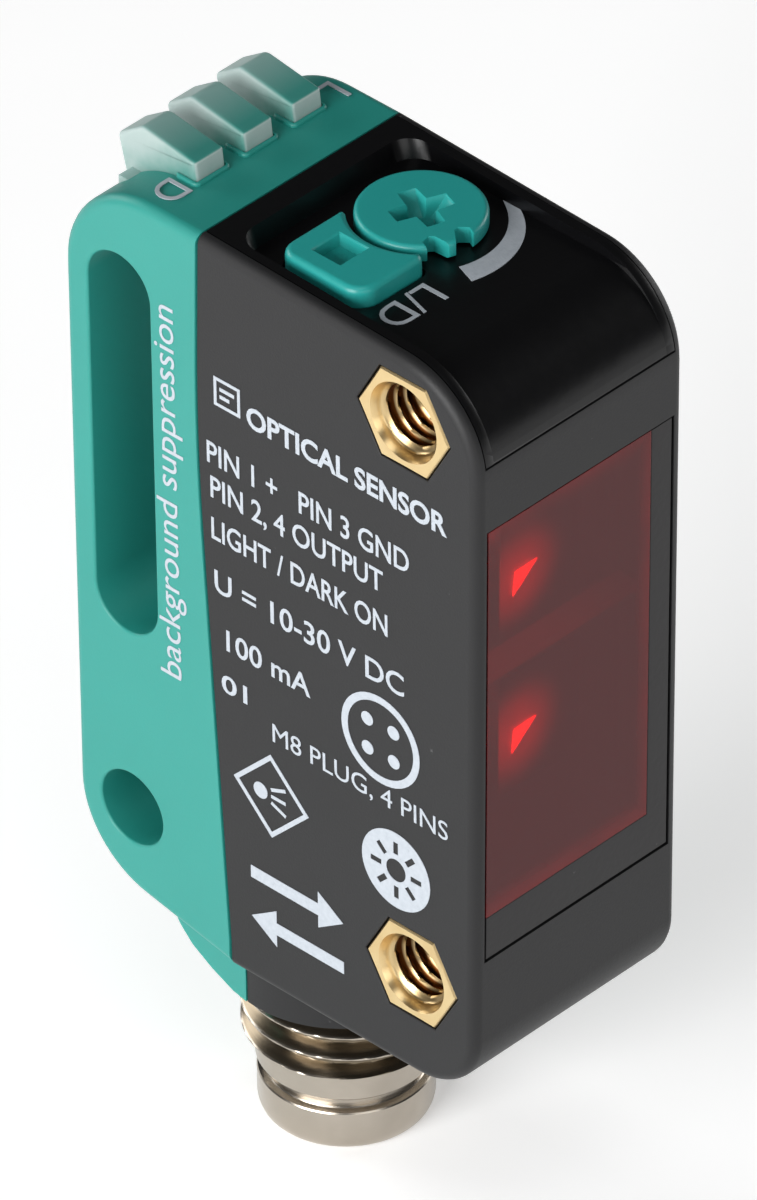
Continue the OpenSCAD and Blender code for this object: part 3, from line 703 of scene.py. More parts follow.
slotShape = {"width": 3.2, "y": 14.6, "lowZ": -2.6, "highZ": 11.5, "holeZ": -12.55, "rim": 0.12}
footShape = {
    "underside": ((10.2, -19.4), (11.3, -18.9), (12.3, -18.3), (13.1, -17.5), (13.7, -16.6), (14.0, -15.5)),
    "backY": 14.2, "cornerR": 1.4}
skirt = {"over": 0.16, "frontY": 12.5, "backY": 13.7, "cornerR": 0.25, "low": 15.5, "high": 16.14,
         "edge": 0.1}

# The light pipe: a strip in the rear top corner with a bar and legs inside, and three ribs that stand out
pipeShape = {
    "stripHalf": 4.6, "stripY": 15.93, "stripZ": 13.9,
    "barHalf": 3.9, "barY": (10.85, 16.03), "barZ": (14.1, 15.2),
    "legHalf": 0.6, "legBackY": 11.9, "legZ": (12.75, 14.5),
    "firstX": 0.15, "pitch": 2.57, "ribWide": 1.55, "ribEdge": 0.16,
    "ribSide": ((12.66, 14.5), (12.66, 16.05), (12.76, 16.89), (15.46, 17.28), (16.77, 16.39), (16.32, 14.5)),
    "ribGrowth": ((-1, 0), (-1, 0), (-1, 1), (0, 1), (1, 1), (1, 0)),  # which way each corner gives clearance
    "ribRadii": (0, 0, 0.12, 0.5, 0.25, 0)}


def slotLoop():  # a long hole with round ends
    radius, y = slotShape["width"] / 2, slotShape["y"]
    angles = [math.pi * k / 24 for k in range(25)]
    upper = [Vector((y + radius * math.cos(a), slotShape["highZ"] + radius * math.sin(a))) for a in angles]
    lower = [Vector((y - radius * math.cos(a), slotShape["lowZ"] - radius * math.sin(a))) for a in angles]
    return upper + lower


def footSolid(frontY):  # the foot that runs down from the case into the back of the collar
    underside = footShape["underside"]
    side = [(frontY, collar["low"])] + list(underside) + [(frontY, underside[-1][1])]
    foot = acrossSolid("foot", [Vector(corner) for corner in side], collar["radius"])
    half, cornerR = collar["radius"], footShape["cornerR"]
    plan = roundedLoop(boxCorners((-half, 0), (half, footShape["backY"])), [0, 0, cornerR, cornerR], 16)
    combine(foot, uprightSolid("plan", plan, -beyond, 0), "INTERSECT")
    return foot


def ribMiddles():
    return [pipeShape["firstX"] + i * pipeShape["pitch"] for i in (-1, 0, 1)]


def buildRearHousing():
    housing = acrossSolid("rearHousing", rearLoop(), caseHalf, caseShape["edgeR"], seamShare)
    frontY = caseShape["seamFoot"][0] + caseShape["seamGap"]
    combine(housing, footSolid(frontY), "UNION")
    addCollarHalf(housing, frontY, beyond, collar["highRear"])
    combine(housing, block((-cavity["half"], 0, cavity["low"]),
                           (cavity["half"], cavity["backY"], cavity["high"])))
    combine(housing, aroundPlug("bore", collar["bore"], collar["boreLow"], collar["boreHighRear"]))
    combine(housing, aroundPlug("flange", collar["flangeR"], collar["flangeLow"], collar["flangeHigh"]))
    combine(housing, flaredCutter(slotLoop(), caseHalf, slotShape["rim"]))
    hole = circleLoop((slotShape["y"], slotShape["holeZ"]), slotShape["width"] / 2)
    combine(housing, flaredCutter(hole, caseHalf, slotShape["rim"]))
    for middle in ribMiddles():  # a low moulded skirt round the foot of each rib
        half = pipeShape["ribWide"] / 2 + skirt["over"]
        corners = boxCorners((middle - half, skirt["frontY"]), (middle + half, skirt["backY"]))
        outline = roundedLoop(corners, [skirt["cornerR"]] * 4, 5)
        combine(housing, uprightSolid("skirt", outline, skirt["low"], skirt["high"], skirt["edge"]), "UNION")
    combine(housing, lightPipeBody(0.03))
    finishPiece(housing, "sensor_body", tealPolycarbonate, ["rear_housing"])


def lightPipeBody(grow=0.0):  # grow gives the clearance when it is used as a cutter
    shape = pipeShape
    body = acrossSolid("lightPipe", rearLoop(), shape["stripHalf"] + grow)
    combine(body, block((-beyond, shape["stripY"] - grow, shape["stripZ"] - grow), (beyond, beyond, beyond)),
            "INTERSECT")
    (barFront, barBack), (barLow, barHigh) = shape["barY"], shape["barZ"]
    barHalf = shape["barHalf"] + grow
    combine(body, block((-barHalf, barFront - grow, barLow - grow), (barHalf, barBack, barHigh + grow)),
            "UNION")
    corners = [(y + outY * grow, z + outZ * grow)
               for (y, z), (outY, outZ) in zip(shape["ribSide"], shape["ribGrowth"])]
    side = roundedLoop(corners, shape["ribRadii"], 5)
    edge = 0 if grow else shape["ribEdge"]
    legHalf, (legLow, legHigh) = shape["legHalf"] + grow, shape["legZ"]
    for middle in ribMiddles():
        combine(body, acrossSolid("rib", side, shape["ribWide"] / 2 + grow, edge, middle=middle), "UNION")
        combine(body, block((middle - legHalf, barFront - grow, legLow),
                            (middle + legHalf, shape["legBackY"] + grow, legHigh)), "UNION")
    return body


def buildLightPipe():
    finishPiece(lightPipeBody(), "sensor_body", frostedPolycarbonate, ["light_pipe"])


buildFrontHousing()
buildRearHousing()
buildLightPipe()
print("case built")

# The operator panel, its knob and its button

def panelLoop():  # the rims and the bar follow the case's own top and front curve
    topFrontY = frontAt(caseShape["topZ"])
    backY = caseShape["seamTopY"] - panelShape["backGap"]
    lipBackY = frontAt(panelShape["lipZ"]) + panelShape["thick"]
    underZ = panelShape["floorZ"] - panelShape["thick"]
    corners = [(backY, topAt(backY)), (topFrontY, topAt(topFrontY)), (frontAt(0), 0), (lipBackY, 0),
               (lipBackY, panelShape["lipZ"]), (lipBackY, underZ), (backY, underZ)]
    return roundedLoop(corners, [0, caseShape["frontTopR"], 0, 0, 0, panelShape["underR"], 0], 20)


def trayLoop():  # what is cut away above the tray's floor and its front curve
    floorZ, fit = panelShape["floorZ"], panelShape["trayFit"]
    corners = [(frontAt(0) + fit, 0), (frontAt(floorZ) + fit, floorZ), (beyond, floorZ), (beyond, beyond),
               (-beyond, beyond), (-beyond, 0)]
    return roundedLoop(corners, [0, panelShape["frontR"], 0, 0, 0, 0], 20)


buttonShape = {
    "low": (-4.05, 3.5), "high": (-0.6, 7.8), "radii": (0.9, 0.35, 0.12, 0.8), "knobGap": 0.28,
    "underZ": 13.95, "edge": 0.26,
    "flangeZ": (13.65, 13.96), "flangeFit": 0.02, "flangeRightX": -0.75, "flangeKnobR": 2.9,
    "socketAt": (-2.45, 6.08), "socketHalf": 0.73, "socketDeep": 0.55}


def buttonLoop(grow=0.0, steps=6):  # a rounded oblong, hollowed on one side to clear the knob
    (lowX, lowY), (highX, highY) = buttonShape["low"], buttonShape["high"]
    first, second, third, fourth = buttonShape["radii"]
    corners = boxCorners((lowX - grow, lowY - grow), (highX + grow, highY + grow))
    outline = roundedLoop(corners, [first + grow, second, third, fourth + grow], steps)
    box = uprightSolid("box", outline, 0, 1)
    clear = knobHigh.x - knobCentre.x + buttonShape["knobGap"] - grow
    combine(box, uprightSolid("round", circleLoop(knobCentre, clear, 96), -1, 2))
    mesh = box.data
    top = max(mesh.polygons, key=lambda face: face.center.z)
    loop = [Vector((mesh.vertices[v].co.x, mesh.vertices[v].co.y)) for v in top.vertices]
    bpy.data.objects.remove(box)
    return loop


def buildOperatorPanel():
    shape = panelShape
    panel = acrossSolid("operatorPanel", panelLoop(), shape["half"] - shape["fit"])
    combine(panel, block((-beyond, -beyond, -1), (beyond, shape["lipBackY"], shape["lipZ"])))
    tray = acrossSolid("tray", trayLoop(), shape["trayHalf"])
    half, radius = shape["trayHalf"], shape["trayCornerR"]
    rings = []
    for z, grow in ((0, 0), (shape["floorZ"], 0), (shape["backSlopeZ"], shape["backSlope"]),
                    (beyond, shape["backSlope"])):
        corners = boxCorners((-half, -beyond), (half, shape["trayBackY"] + grow))
        rings.append([(p.x, p.y, z) for p in roundedLoop(corners, [0, 0, radius, radius], 8)])
    combine(tray, ringSolid("plan", rings), "INTERSECT")
    combine(panel, tray)
    combine(panel, uprightSolid("stem", circleLoop(knobCentre, shape["stemHoleR"], 48), 0, beyond))
    combine(panel, uprightSolid("well", buttonLoop(shape["wellFit"]), 0, beyond))
    combine(panel, block((-beyond, -shape["reliefY"], 0), (beyond, shape["reliefY"], shape["reliefZ"])))
    finishPiece(panel, "sensor_body", glossPanel, ["operator_panel"], bevel=0.07)


knobShape = {
    "radius": 2.5, "low": 15.25, "stemR": 1.2, "stemLow": 14.2, "edge": 0.2, "lowEdge": 0.08,
    "turn": math.radians(-19),
    "armTop": 1.18, "armWide": 0.41, "armDeep": 0.85,
    "notch": ((0.1, -2.6), (0.42, -1.82), (0.62, -1.74), (0.98, -1.95), (0.93, -2.6))}


def crossLoop(arm, half):  # a plus sign with slightly narrowing arms
    quarter = [(half, half), (half * 0.86, arm), (-half * 0.86, arm)]
    loop = []
    for k in range(4):
        turn = Matrix.Rotation(math.pi / 2 * k, 2)
        loop += [turn @ Vector(p) for p in quarter]
    return loop


def buildKnob():
    shape = knobShape
    top, radius, low, lowEdge = knobHigh.z, shape["radius"], shape["low"], shape["lowEdge"]
    rings = [(shape["stemLow"], shape["stemR"]), (low, shape["stemR"]), (low, radius - lowEdge),
             (low + lowEdge, radius)]
    rings += [(z, radius - depth) for z, depth in roundEnd(top, shape["edge"], 4)]
    knob = ringSolid("rangeKnob", [[(p.x, p.y, z) for p in circleLoop((0, 0), r, 96)] for z, r in rings])
    deep, arm, wide = shape["armDeep"], shape["armTop"], shape["armWide"]
    recess = [(top + 1, arm + 0.05, wide + 0.05),  # flared at the mouth, and narrowing to the bottom
              (top - 0.02, arm + 0.02, wide + 0.02), (top - 0.1, arm - 0.03, wide - 0.02),
              (top - deep * 0.6, arm * 0.72, wide * 0.9), (top - deep, arm * 0.4, wide * 0.8)]
    combine(knob, ringSolid("recess", [[(p.x, p.y, z) for p in crossLoop(a, w)] for z, a, w in recess]))
    for side in (-1, 1):  # two notches leave a pointed tooth between them
        notch = [Vector((side * x, y)) for x, y in shape["notch"]]
        combine(knob, uprightSolid("notch", notch, 0, beyond))
    knob.data.transform(Matrix.Translation((knobCentre.x, knobCentre.y, 0))
                        @ Matrix.Rotation(shape["turn"], 4, "Z"))
    finishPiece(knob, "adjuster", tealAcetal, ["range_knob"], bevel=0.05)


def buildButton():
    shape = buttonShape
    top, fit = buttonHigh.z, shape["flangeFit"]
    button = uprightSolid("modeButton", buttonLoop(), shape["underZ"], top, shape["edge"])
    flangeLow, flangeHigh = shape["flangeZ"]
    flange = block((buttonLow.x + fit, buttonLow.y + fit, flangeLow),
                   (shape["flangeRightX"], buttonHigh.y - fit, flangeHigh))
    combine(flange, uprightSolid("round", circleLoop(knobCentre, shape["flangeKnobR"], 64), 0, beyond))
    combine(button, flange, "UNION")
    (middleX, middleY), half = shape["socketAt"], shape["socketHalf"]
    rings = []
    for z, reach in ((top - shape["socketDeep"], half - 0.06), (top - 0.06, half - 0.03), (top, half + 0.03),
                     (top + 1, half + 0.03)):
        corners = boxCorners((middleX - reach, middleY - reach), (middleX + reach, middleY + reach))
        rings.append([(x, y, z) for x, y in corners])
    combine(button, ringSolid("socket", rings))
    finishPiece(button, "button", tealAcetal, ["mode_button"], bevel=0.03)


buildOperatorPanel()
buildKnob()
buildButton()
print("panel and controls built")

# The window, and the painted glints that glow behind it

paneShape = {"rightBand": 1.1, "bottomBand": 1.95, "gap": 0.03, "gapBelow": 0.07, "setBack": 0.02,
             "backDepth": 1.2}


def buildWindow():
    shape = paneShape
    upright = math.cos(caseShape["lean"])
    lowX, lowZ = windowLow.x + shape["gap"], windowLow.z / upright + shape["gapBelow"]
    highX, highZ = windowHigh.x - shape["gap"], windowHigh.z / upright
    front, back = shape["setBack"], shape["backDepth"]
    clearX, clearZ = highX - shape["rightBand"], lowZ + shape["bottomBand"]
    band = block((lowX, front, lowZ), (highX, back, highZ))
    combine(band, block((-beyond, -1, clearZ), (clearX, 3, beyond)))
    leanWithFront(band)
    finishPiece(band, "sensor_body", backPrintedAcrylic, ["front_window"], bevel=0.04)
    pane = windowBlock((lowX, front, clearZ), (clearX, back, highZ))
    finishPiece(pane, "sensor_body", redAcrylicPane, ["front_window"], bevel=0.03)


# Painted glints: emissive facets and plates behind the window that stand in for the glints of light in the
# optics
glint = {
    "x": -2.25, "depth": 1.32, "thick": 0.05, "heights": (5.55, -1.75), "brightest": (-0.3, 0.1),
    "facet": {"corners": ((-0.62, -0.62), (0.66, 0.46), (-0.5, 0.42)), "setBack": 0,
              "look": {"reachMm": 3, "strength": 90}},
    "rim": {"corners": ((-1.2, -2.4), (3.0, -2.4), (3.0, 3.0), (-1.2, 3.0)), "setBack": 0.1,
            "look": {"reachMm": 2.9, "strength": 9}}}


def buildGlints():  # for each beam, a painted glint: a glowing facet on the carrier's rim, and a dimmer glowing plate behind it as its painted halo
    x, depth, (besideX, aboveZ) = glint["x"], glint["depth"], glint["brightest"]
    for index, z in enumerate(glint["heights"], 1):
        brightest = (x + besideX, frontAt(z) + depth, z + aboveZ)
        for name in ("facet", "rim"):
            part = glint[name]
            paintedGlow = paintedGlowMaterial("lit%s%d" % (name.capitalize(), index), dict(part["look"], brightest=brightest))
            front = depth + part["setBack"]
            back = front + glint["thick"]
            rings = [[(x + across, y, z + up) for across, up in part["corners"]] for y in (front, back)]
            plate = ringSolid("%sLit%d" % (name, index), rings)
            leanWithFront(plate)
            finishPiece(plate, "sensor_body", paintedGlow)


buildWindow()
buildGlints()
print("window built")

# Threaded metal

def threadDip(turns):  # 0 on the crest to 1 in the root, for a 60 degree thread with narrow flats
    phase = turns % 1
    ramp = abs(2 * phase - 1)
    return min(max((1 - ramp) * 1.25 - 0.08, 0), 1)


insertShape = {"minorR": 1.25, "majorR": 1.52, "pitch": 0.5, "runOut": 0.3, "rowsPerPitch": 8, "around": 72,
               "sinkR": 1.68, "sink": 0.3, "chamfer": 0.07}


def insertRings(middleZ):  # round the outside, over the end, down the thread and back
    shape = insertShape
    half, chamfer, angles = insertHigh.x, shape["chamfer"], fullTurn(shape["around"])
    threadHalf = half - shape["sink"]
    flats = [corner.length for corner in hexLoop(0, insertCorner, shape["around"] // 6)]

    def ring(x, radii):
        return [(x, r * math.cos(a), middleZ + r * math.sin(a)) for r, a in zip(radii, angles)]

    def endRings(x, inward):  # from the flats to the foot of the countersink
        return [ring(x + inward * chamfer, flats), ring(x, [r - chamfer for r in flats]),
                ring(x, [shape["sinkR"]] * len(angles)),
                ring(x + inward * shape["sink"], [shape["majorR"]] * len(angles))]

    def threadRadius(x, angle):
        turns = x / shape["pitch"] + angle / (2 * math.pi)
        fade = min((threadHalf - abs(x)) / shape["runOut"], 1)
        return shape["majorR"] - (shape["majorR"] - shape["minorR"]) * (1 - threadDip(turns)) * fade

    rows = int(2 * threadHalf / shape["pitch"] * shape["rowsPerPitch"])
    threaded = [threadHalf - 2 * threadHalf * row / rows for row in range(1, rows)]
    return (endRings(half, -1) + [ring(x, [threadRadius(x, a) for a in angles]) for x in threaded]
            + endRings(-half, 1)[::-1])


def buildInserts():
    verts, faces = [], []
    for side in (-1, 1):
        rings = insertRings(side * insertZ)
        faces += skinRings(rings, True, len(verts))
        verts += [point for ring in rings for point in ring]
    inserts = makePiece("mountingInserts", verts, faces)
    finishPiece(inserts, "sensor_body", turnedBrass, ["mounting_inserts"], sharp=38)


# The shell's outline as radius and height: up the bore, over the flange, down the outside, back up the nose
plugShape = {
    "crestR": 4.0, "rootR": 3.45, "pitch": 1.0, "topZ": -19.6, "endZ": -22.9, "runOutTop": 0.15,
    "runOutEnd": 0.35, "rowsPerPitch": 28, "around": 96,
    "boreAndFlange": ((2.75, -21.0), (2.98, -21.0), (2.98, -15.4), (4.4, -15.4), (4.4, -16.15), (3.6, -16.15),
                      (3.6, -19.55)),
    "neck": ((3.48, -23.05), (3.48, -23.92), (3.44, -23.97), (3.14, -24.1), (3.12, -24.16), (3.12, -24.55),
             (3.16, -24.6), (3.38, -24.66), (3.42, -24.72)),
    "nose": ((3.42, -25.9), (3.39, -26.1), (3.31, -26.3), (3.2, -26.43), (3.08, plugLow.z), (2.88, plugLow.z),
             (2.8, -26.44), (2.75, -26.34), (2.75, -21.05))}


def buildPlugShell():
    shape = plugShape
    angles = fullTurn(shape["around"])
    topZ, endZ = shape["topZ"], shape["endZ"]

    def ring(z, radii):
        return [(r * math.cos(a), plugY + r * math.sin(a), z) for r, a in zip(radii, angles)]

    def turned(profile):
        return [ring(z, [r] * len(angles)) for r, z in profile]

    def threadRadius(z, angle):
        turns = z / shape["pitch"] + angle / (2 * math.pi)
        fade = min((topZ - z) / shape["runOutTop"], (z - endZ) / shape["runOutEnd"], 1)
        return shape["crestR"] - (shape["crestR"] - shape["rootR"]) * max(threadDip(turns), 1 - fade)

    rows = int((topZ - endZ) / shape["pitch"] * shape["rowsPerPitch"])
    threaded = [topZ + (endZ - topZ) * row / rows for row in range(rows + 1)]
    rings = turned(shape["boreAndFlange"])
    rings += [ring(z, [threadRadius(z, a) for a in angles]) for z in threaded]
    rings += turned(shape["neck"]) + turned(shape["nose"])
    shell = ringSolid("connectorShell", rings, ringed=True)
    finishPiece(shell, "sensor_body", nickelPlate, ["connector_shell"], sharp=23)


buildInserts()
buildPlugShell()
print("threads cut")

# Printed marks

inkDepth = 0.02


def placeInk(piece, origin, right, up):
    right, up = Vector(right), Vector(up)
    out = right.cross(up)
    turn = Matrix((right, up, out)).transposed().to_4x4()
    piece.data.transform(Matrix.Translation(origin) @ turn)
    finishPiece(piece, "sensor_body", printInk)


def inkOutline(name, loop, holes=()):  # a flat mark, half sunk in the surface
    mark = uprightSolid(name, [Vector(p) for p in loop], -inkDepth, inkDepth)
    for hole in holes:
        combine(mark, uprightSolid("hole", [Vector(p) for p in hole], -1, 1))
    return mark


def inkStroke(name, start, end, width):
    a, b = Vector(start), Vector(end)
    side = (b - a).normalized().orthogonal() * width / 2
    return inkOutline(name, [a + side, a - side, b - side, b + side])


def inkWords(name, words, height, width=0.0, weight=0.0):  # capitals of this height, in a line of this width
    curve = bpy.data.curves.new(name, "FONT")
    curve.body = words
    curve.size = height / 0.7  # the capitals stand 0.7 of the letters' size
    curve.extrude = inkDepth
    curve.offset = weight
    curve.resolution_u = 4
    drawn = bpy.data.objects.new(name, curve)
    scene.collection.objects.link(drawn)
    graph = bpy.context.evaluated_depsgraph_get()
    mesh = bpy.data.meshes.new_from_object(drawn.evaluated_get(graph))
    bpy.data.objects.remove(drawn)
    reach = max(v.co.x for v in mesh.vertices)
    mesh.transform(Matrix.Diagonal((width / reach if width else 1, 1, 1, 1)))
    piece = bpy.data.objects.new(name, mesh)
    scene.collection.objects.link(piece)
    return piece


# Each line's words, height of capitals, width, place in Y and Z, and how much its strokes are thickened
labelLines = {
    "labelType": ("OPTICAL SENSOR", 0.92, 10.2, 8.05, 8.62, 0.035),
    "labelPinsA": ("PIN 1 +   PIN 3 GND", 0.98, 10.4, 10.2, 5.95, 0.015),
    "labelPinsB": ("PIN 2, 4 OUTPUT", 0.98, 8.9, 10.05, 4.4, 0.015),
    "labelMode": ("LIGHT / DARK ON", 0.98, 9.1, 10.05, 2.5, 0.015),
    "labelSupply": ("U = 10-30 V DC", 1.0, 9.8, 9.95, 0.1, 0.015),
    "labelCurrent": ("100 mA", 0.95, 4.6, 9.6, -2.4, 0.015),
    "labelCount": ("01", 0.8, 1.35, 9.65, -4.4, 0.015),
    "labelPlug": ("M8 PLUG, 4 PINS", 0.85, 9.1, 7.1, -5.45, 0.0)}
labelBox = {"at": (9.7, 8.75), "size": (1.35, 1.3), "line": 0.14, "rayFrom": 0.3, "rayWide": 0.16,
            "rays": (("Out", 1.05, 0.82), ("Back", 0.8, 0.48))}
plugDiagram = {"at": (1.4, -2.5), "outerR": 2.0, "innerR": 1.68, "pinR": 0.3, "pinsAt": 0.95}
beamDiamond = {"at": (7.15, -8.1), "reach": 1.95, "inner": 0.86, "lampX": -0.55, "lampR": 0.36,
               "rays": (-0.3, 0, 0.3), "rayLong": 0.75, "rayWide": 0.15}
beamArrow = {"out": (5.9, -12.2), "back": (5.9, -14.3), "half": 2.4, "neck": 1.1, "thick": 0.28, "head": 0.85}
lampDisc = {"at": (0.7, -8.2), "radius": 1.75, "lampR": 0.5, "rays": 8, "rayFrom": 0.75, "rayTo": 1.3,
            "rayHalf": 0.12}


def onSide(piece, place):  # the printed side, read with the case upright
    placeInk(piece, (-caseHalf, *place), (0, -1, 0), (0, 0, 1))


def printWords():
    for name, (words, height, width, y, z, weight) in labelLines.items():
        onSide(inkWords(name, words, height, width, weight), (y, z))


def printLabelBox():
    (wide, high), line = labelBox["size"], labelBox["line"]
    hole = boxCorners((line, line), (wide - line, high - line))
    onSide(inkOutline("labelBox", boxCorners((0, 0), (wide, high)), [hole]), labelBox["at"])
    for name, end, up in labelBox["rays"]:
        ray = inkStroke("labelBeam" + name, (labelBox["rayFrom"], up), (end, up), labelBox["rayWide"])
        onSide(ray, labelBox["at"])


def printPlugDiagram():
    mark = plugDiagram
    inner = circleLoop((0, 0), mark["innerR"])
    onSide(inkOutline("plugDiagramRing", circleLoop((0, 0), mark["outerR"]), [inner]), mark["at"])
    for k in range(4):
        angle = math.pi / 4 + math.pi / 2 * k
        centre = (mark["pinsAt"] * math.cos(angle), mark["pinsAt"] * math.sin(angle))
        onSide(inkOutline("plugDiagramPin%d" % (k + 1), circleLoop(centre, mark["pinR"], 24)), mark["at"])


def printBeamDiamond():
    mark = beamDiamond
    outer = [(-mark["reach"], 0), (0, -mark["reach"]), (mark["reach"], 0), (0, mark["reach"])]
    inner = [(x * mark["inner"], z * mark["inner"]) for x, z in outer]
    onSide(inkOutline("beamDiamond", outer, [inner]), mark["at"])
    onSide(inkOutline("beamDiamondLamp", circleLoop((mark["lampX"], 0), mark["lampR"], 24)), mark["at"])
    for index, z in enumerate(mark["rays"], 1):
        ray = inkStroke("beamDiamondRay%d" % index, (0, z), (mark["rayLong"], z * 2), mark["rayWide"])
        onSide(ray, mark["at"])


def printBeamArrows():
    mark = beamArrow
    half, neck, thick, head = mark["half"], mark["neck"], mark["thick"], mark["head"]
    arrow = [(-half, -thick), (neck, -thick), (neck, -head), (half, 0), (neck, head), (neck, thick),
             (-half, thick)]
    onSide(inkOutline("beamArrowOut", arrow), mark["out"])
    onSide(inkOutline("beamArrowBack", [(-x, z) for x, z in arrow]), mark["back"])


def printLampDisc():
    mark = lampDisc
    holes = [circleLoop((0, 0), mark["lampR"], 24)]
    ray = boxCorners((mark["rayFrom"], -mark["rayHalf"]), (mark["rayTo"], mark["rayHalf"]))
    for k in range(mark["rays"]):
        turn = Matrix.Rotation(2 * math.pi / mark["rays"] * k, 2)
        holes.append([turn @ Vector(p) for p in ray])
    onSide(inkOutline("lampDisc", circleLoop((0, 0), mark["radius"]), holes), mark["at"])


rearLine = {"words": "background suppression", "height": 1.1, "width": 17.2, "at": (11.75, -5.2)}


def printRearWords():  # reads upwards beside the slot
    words = inkWords("rearWords", rearLine["words"], rearLine["height"], rearLine["width"])
    placeInk(words, (-caseHalf, *rearLine["at"]), (0, 0, 1), (0, 1, 0))


crescent = {"middleR": 3.5, "widest": 1.0, "tip": 0.01, "taper": 0.45, "sweep": math.radians(95), "steps": 24}
legends = {"height": 1.35, "mode": (-1.02, 3.12), "rearHeight": 1.25, "dark": (-3.45, 13.7),
           "light": (4.95, 13.7), "rearLift": 0.05}


def rangeCrescent():  # widest at the pointer, with a long taper
    start = knobShape["turn"] - math.pi / 2
    outer, inner = [], []
    for k in range(crescent["steps"] + 1):
        share = k / crescent["steps"]
        angle = start + crescent["sweep"] * share
        half = (crescent["widest"] * (1 - share) ** crescent["taper"] + crescent["tip"]) / 2
        for edge, radius in ((outer, crescent["middleR"] + half), (inner, crescent["middleR"] - half)):
            edge.append((knobCentre.x + radius * math.cos(angle), knobCentre.y + radius * math.sin(angle)))
    return inkOutline("rangeCrescent", outer + inner[::-1])


def printTopMarks():  # the legends read from the back of the sensor
    floorZ = panelShape["floorZ"]
    placeInk(rangeCrescent(), (0, 0, floorZ), (1, 0, 0), (0, 1, 0))
    rearZ = topAt(caseShape["seamTopY"]) + legends["rearLift"]
    for name, words, height, place, z, slot in (
            ("modeLegend", "L/D", legends["height"], legends["mode"], floorZ, "black_panel"),
            ("darkLegend", "D", legends["rearHeight"], legends["dark"], rearZ, "teal_housing"),
            ("lightLegend", "L", legends["rearHeight"], legends["light"], rearZ, "teal_housing")):
        placeInk(inkWords(name, words, height), (*place, z), (-1, 0, 0), (0, -1, 0))


printLabelBox()
printWords()
printPlugDiagram()
printBeamDiamond()
printBeamArrows()
printLampDisc()
printRearWords()
printTopMarks()
print("marks printed")

# The inside parts, which keep the CAD model's shapes

# painted glow: the divider gives off a faint red emission that stands in for the beam's light on its edge
litDivider = paintedGlowMaterial("litDivider", {"brightest": (-3, -2, 1.5), "reachMm": 10, "strength": 1.6})
keptMaterials = {
    "housing_seal": nitrileRubber, "window_seal": nitrileRubber, "knob_seal": nitrileRubber,
    "connector_seal": nitrileRubber, "potentiometer_body": trimmerResin, "potentiometer_rotor": whiteNylon,
    "tact_switch": greyResin, "switch_dome": springSteel, "indicator_leds": diodeResin,
    "control_board": solderMask, "main_board": solderMask, "board_link": polyimideFilm,
    "processor_chip": mouldedEpoxy, "board_components": firedCeramic, "optics_block": blackPolyamide,
    "beam_divider": litDivider, "emitter_lens": clearAcrylicLens, "receiver_lens": clearAcrylicLens,
    "emitter_led": diodeResin, "receiver_array": receiverResin, "connector_insulator": blackPolyamide,
    "contact_pins": goldFlash, "pin_leads": tinnedCopper}
for name, material in keptMaterials.items():
    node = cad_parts[name]
    node.data.materials.clear()
    node.data.materials.append(material)
print("kept parts dressed")

# Floor, lights and camera

studio = {
    "floorDrop": 0.02, "floorHalf": 1.5, "world": 0.05, "floorLift": 0.32,
    "softboxes": {  # place, size and watts
        "leftSoftbox": ((-0.5, -0.03, 0.17), (0.36, 0.3), 3.5),
        "frontSoftbox": ((-0.2, -0.5, 0.16), (0.34, 0.3), 0.6),
        "topSoftbox": ((-0.15, -0.15, 0.6), (0.3, 0.3), 0.5),
        "rearSoftbox": ((-0.12, 0.5, 0.2), (0.3, 0.2), 0.9),
        "rightSoftbox": ((0.5, -0.1, 0.12), (0.25, 0.25), 0.8)}}


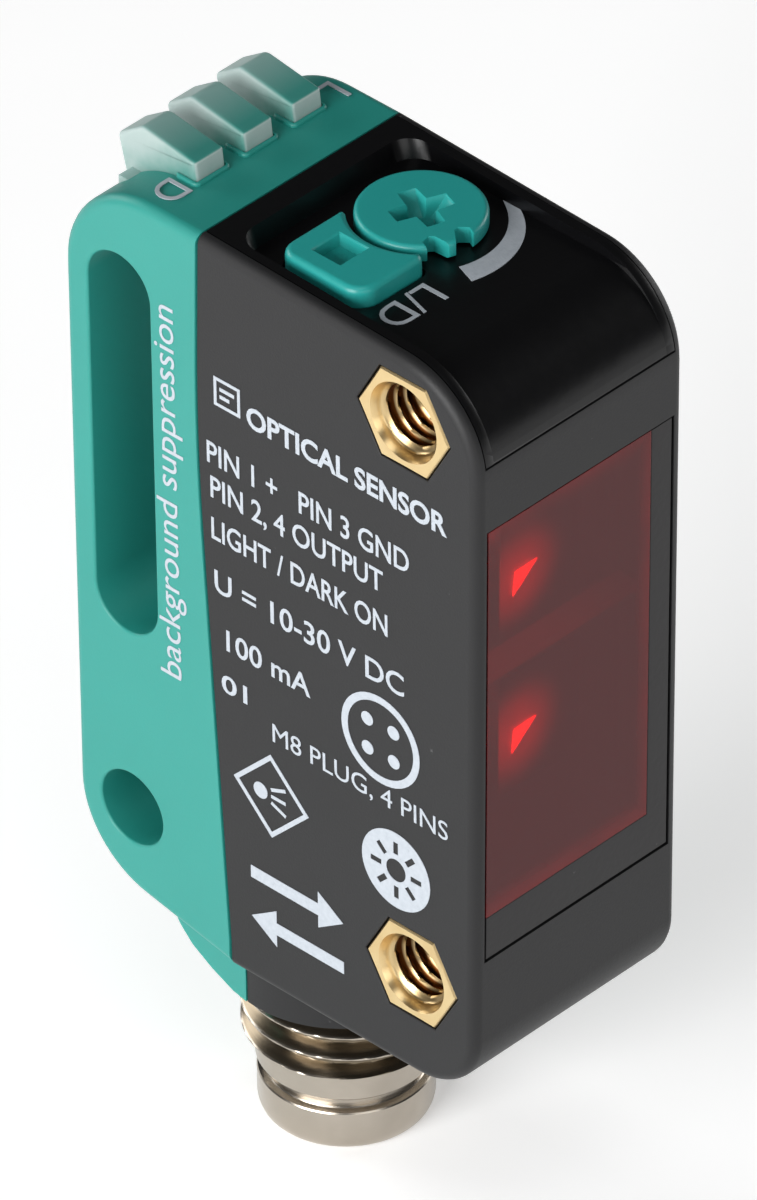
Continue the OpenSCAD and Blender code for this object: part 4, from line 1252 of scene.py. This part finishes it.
def buildFloor():
    z = (plugLow.z - studio["floorDrop"]) * mm
    half = studio["floorHalf"]
    corners = [(x, y, z) for x, y in boxCorners((-half, -half), (half, half))]
    floor = makePiece("floor", corners, [(0, 1, 2, 3)])
    # Coated paper, rolled: matt white and faintly cloudy, lifted a little so that it stays pale to its edges
    material, tree, shader, place = startMaterial("paperSweep", {
        "Roughness": 0.9, "Specular IOR Level": 0.1, "Emission Color": toLinear("#FFFFFF"),
        "Emission Strength": studio["floorLift"]})
    fibre = addNode(tree, "ShaderNodeTexNoise", {"Scale": perMetre(8)}, {"Vector": place})
    colour = addNode(tree, "ShaderNodeMix", {"data_type": "RGBA", 6: toLinear("#F6F6F6"),
                                             7: toLinear("#F9F9F9")}, {0: fibre.outputs["Fac"]})
    tree.links.new(colour.outputs[2], shader.inputs["Base Color"])
    floor.data.materials.append(material)


def addSoftbox(name, place, size, power, target=(0, 0.006, -0.002)):
    lamp = bpy.data.lights.new(name, "AREA")
    lamp.shape = "RECTANGLE"
    lamp.size, lamp.size_y = size
    lamp.energy = power
    holder = bpy.data.objects.new(name, lamp)
    scene.collection.objects.link(holder)
    holder.location = place
    holder.rotation_euler = (Vector(target) - Vector(place)).to_track_quat("-Z", "Y").to_euler()


def lightTheStudio():
    world = bpy.data.worlds.new("studioAir")
    world.use_nodes = True
    air = world.node_tree.nodes["Background"]
    air.inputs["Color"].default_value = toLinear("#FFFFFF")
    air.inputs["Strength"].default_value = studio["world"]
    scene.world = world
    for name, (place, size, power) in studio["softboxes"].items():
        addSoftbox(name, place, size, power)


# A long lens: azimuth from straight ahead, elevation, roll, distance and how far the centre is off the origin
view = {"azimuth": -45.5953, "elevation": 36.7726, "roll": -0.9097, "distance": 650.0118, "shiftX": 4.8709,
        "shiftZ": -1.3271, "lens": 527.4, "sensor": 36}


def addCamera():
    azimuth, elevation, roll = (math.radians(view[key]) for key in ("azimuth", "elevation", "roll"))
    back = Vector((math.sin(azimuth) * math.cos(elevation), -math.cos(azimuth) * math.cos(elevation),
                   math.sin(elevation)))
    right = Vector((math.cos(azimuth), math.sin(azimuth), 0))
    up = back.cross(right)
    rolledRight = math.cos(roll) * right + math.sin(roll) * up
    rolledUp = math.cos(roll) * up - math.sin(roll) * right
    eye = (-view["shiftX"] * rolledRight - view["shiftZ"] * rolledUp + view["distance"] * back) * mm
    lens = bpy.data.cameras.new("camera")
    lens.lens = view["lens"]
    lens.sensor_width = view["sensor"]
    lens.clip_start = 0.01
    camera = bpy.data.objects.new("camera", lens)
    scene.collection.objects.link(camera)
    turn = Matrix((rolledRight, rolledUp, back)).transposed().to_4x4()
    camera.matrix_world = Matrix.Translation(eye) @ turn
    scene.camera = camera


buildFloor()
lightTheStudio()
addCamera()
scene.view_settings.view_transform = "Standard"
print("studio ready")
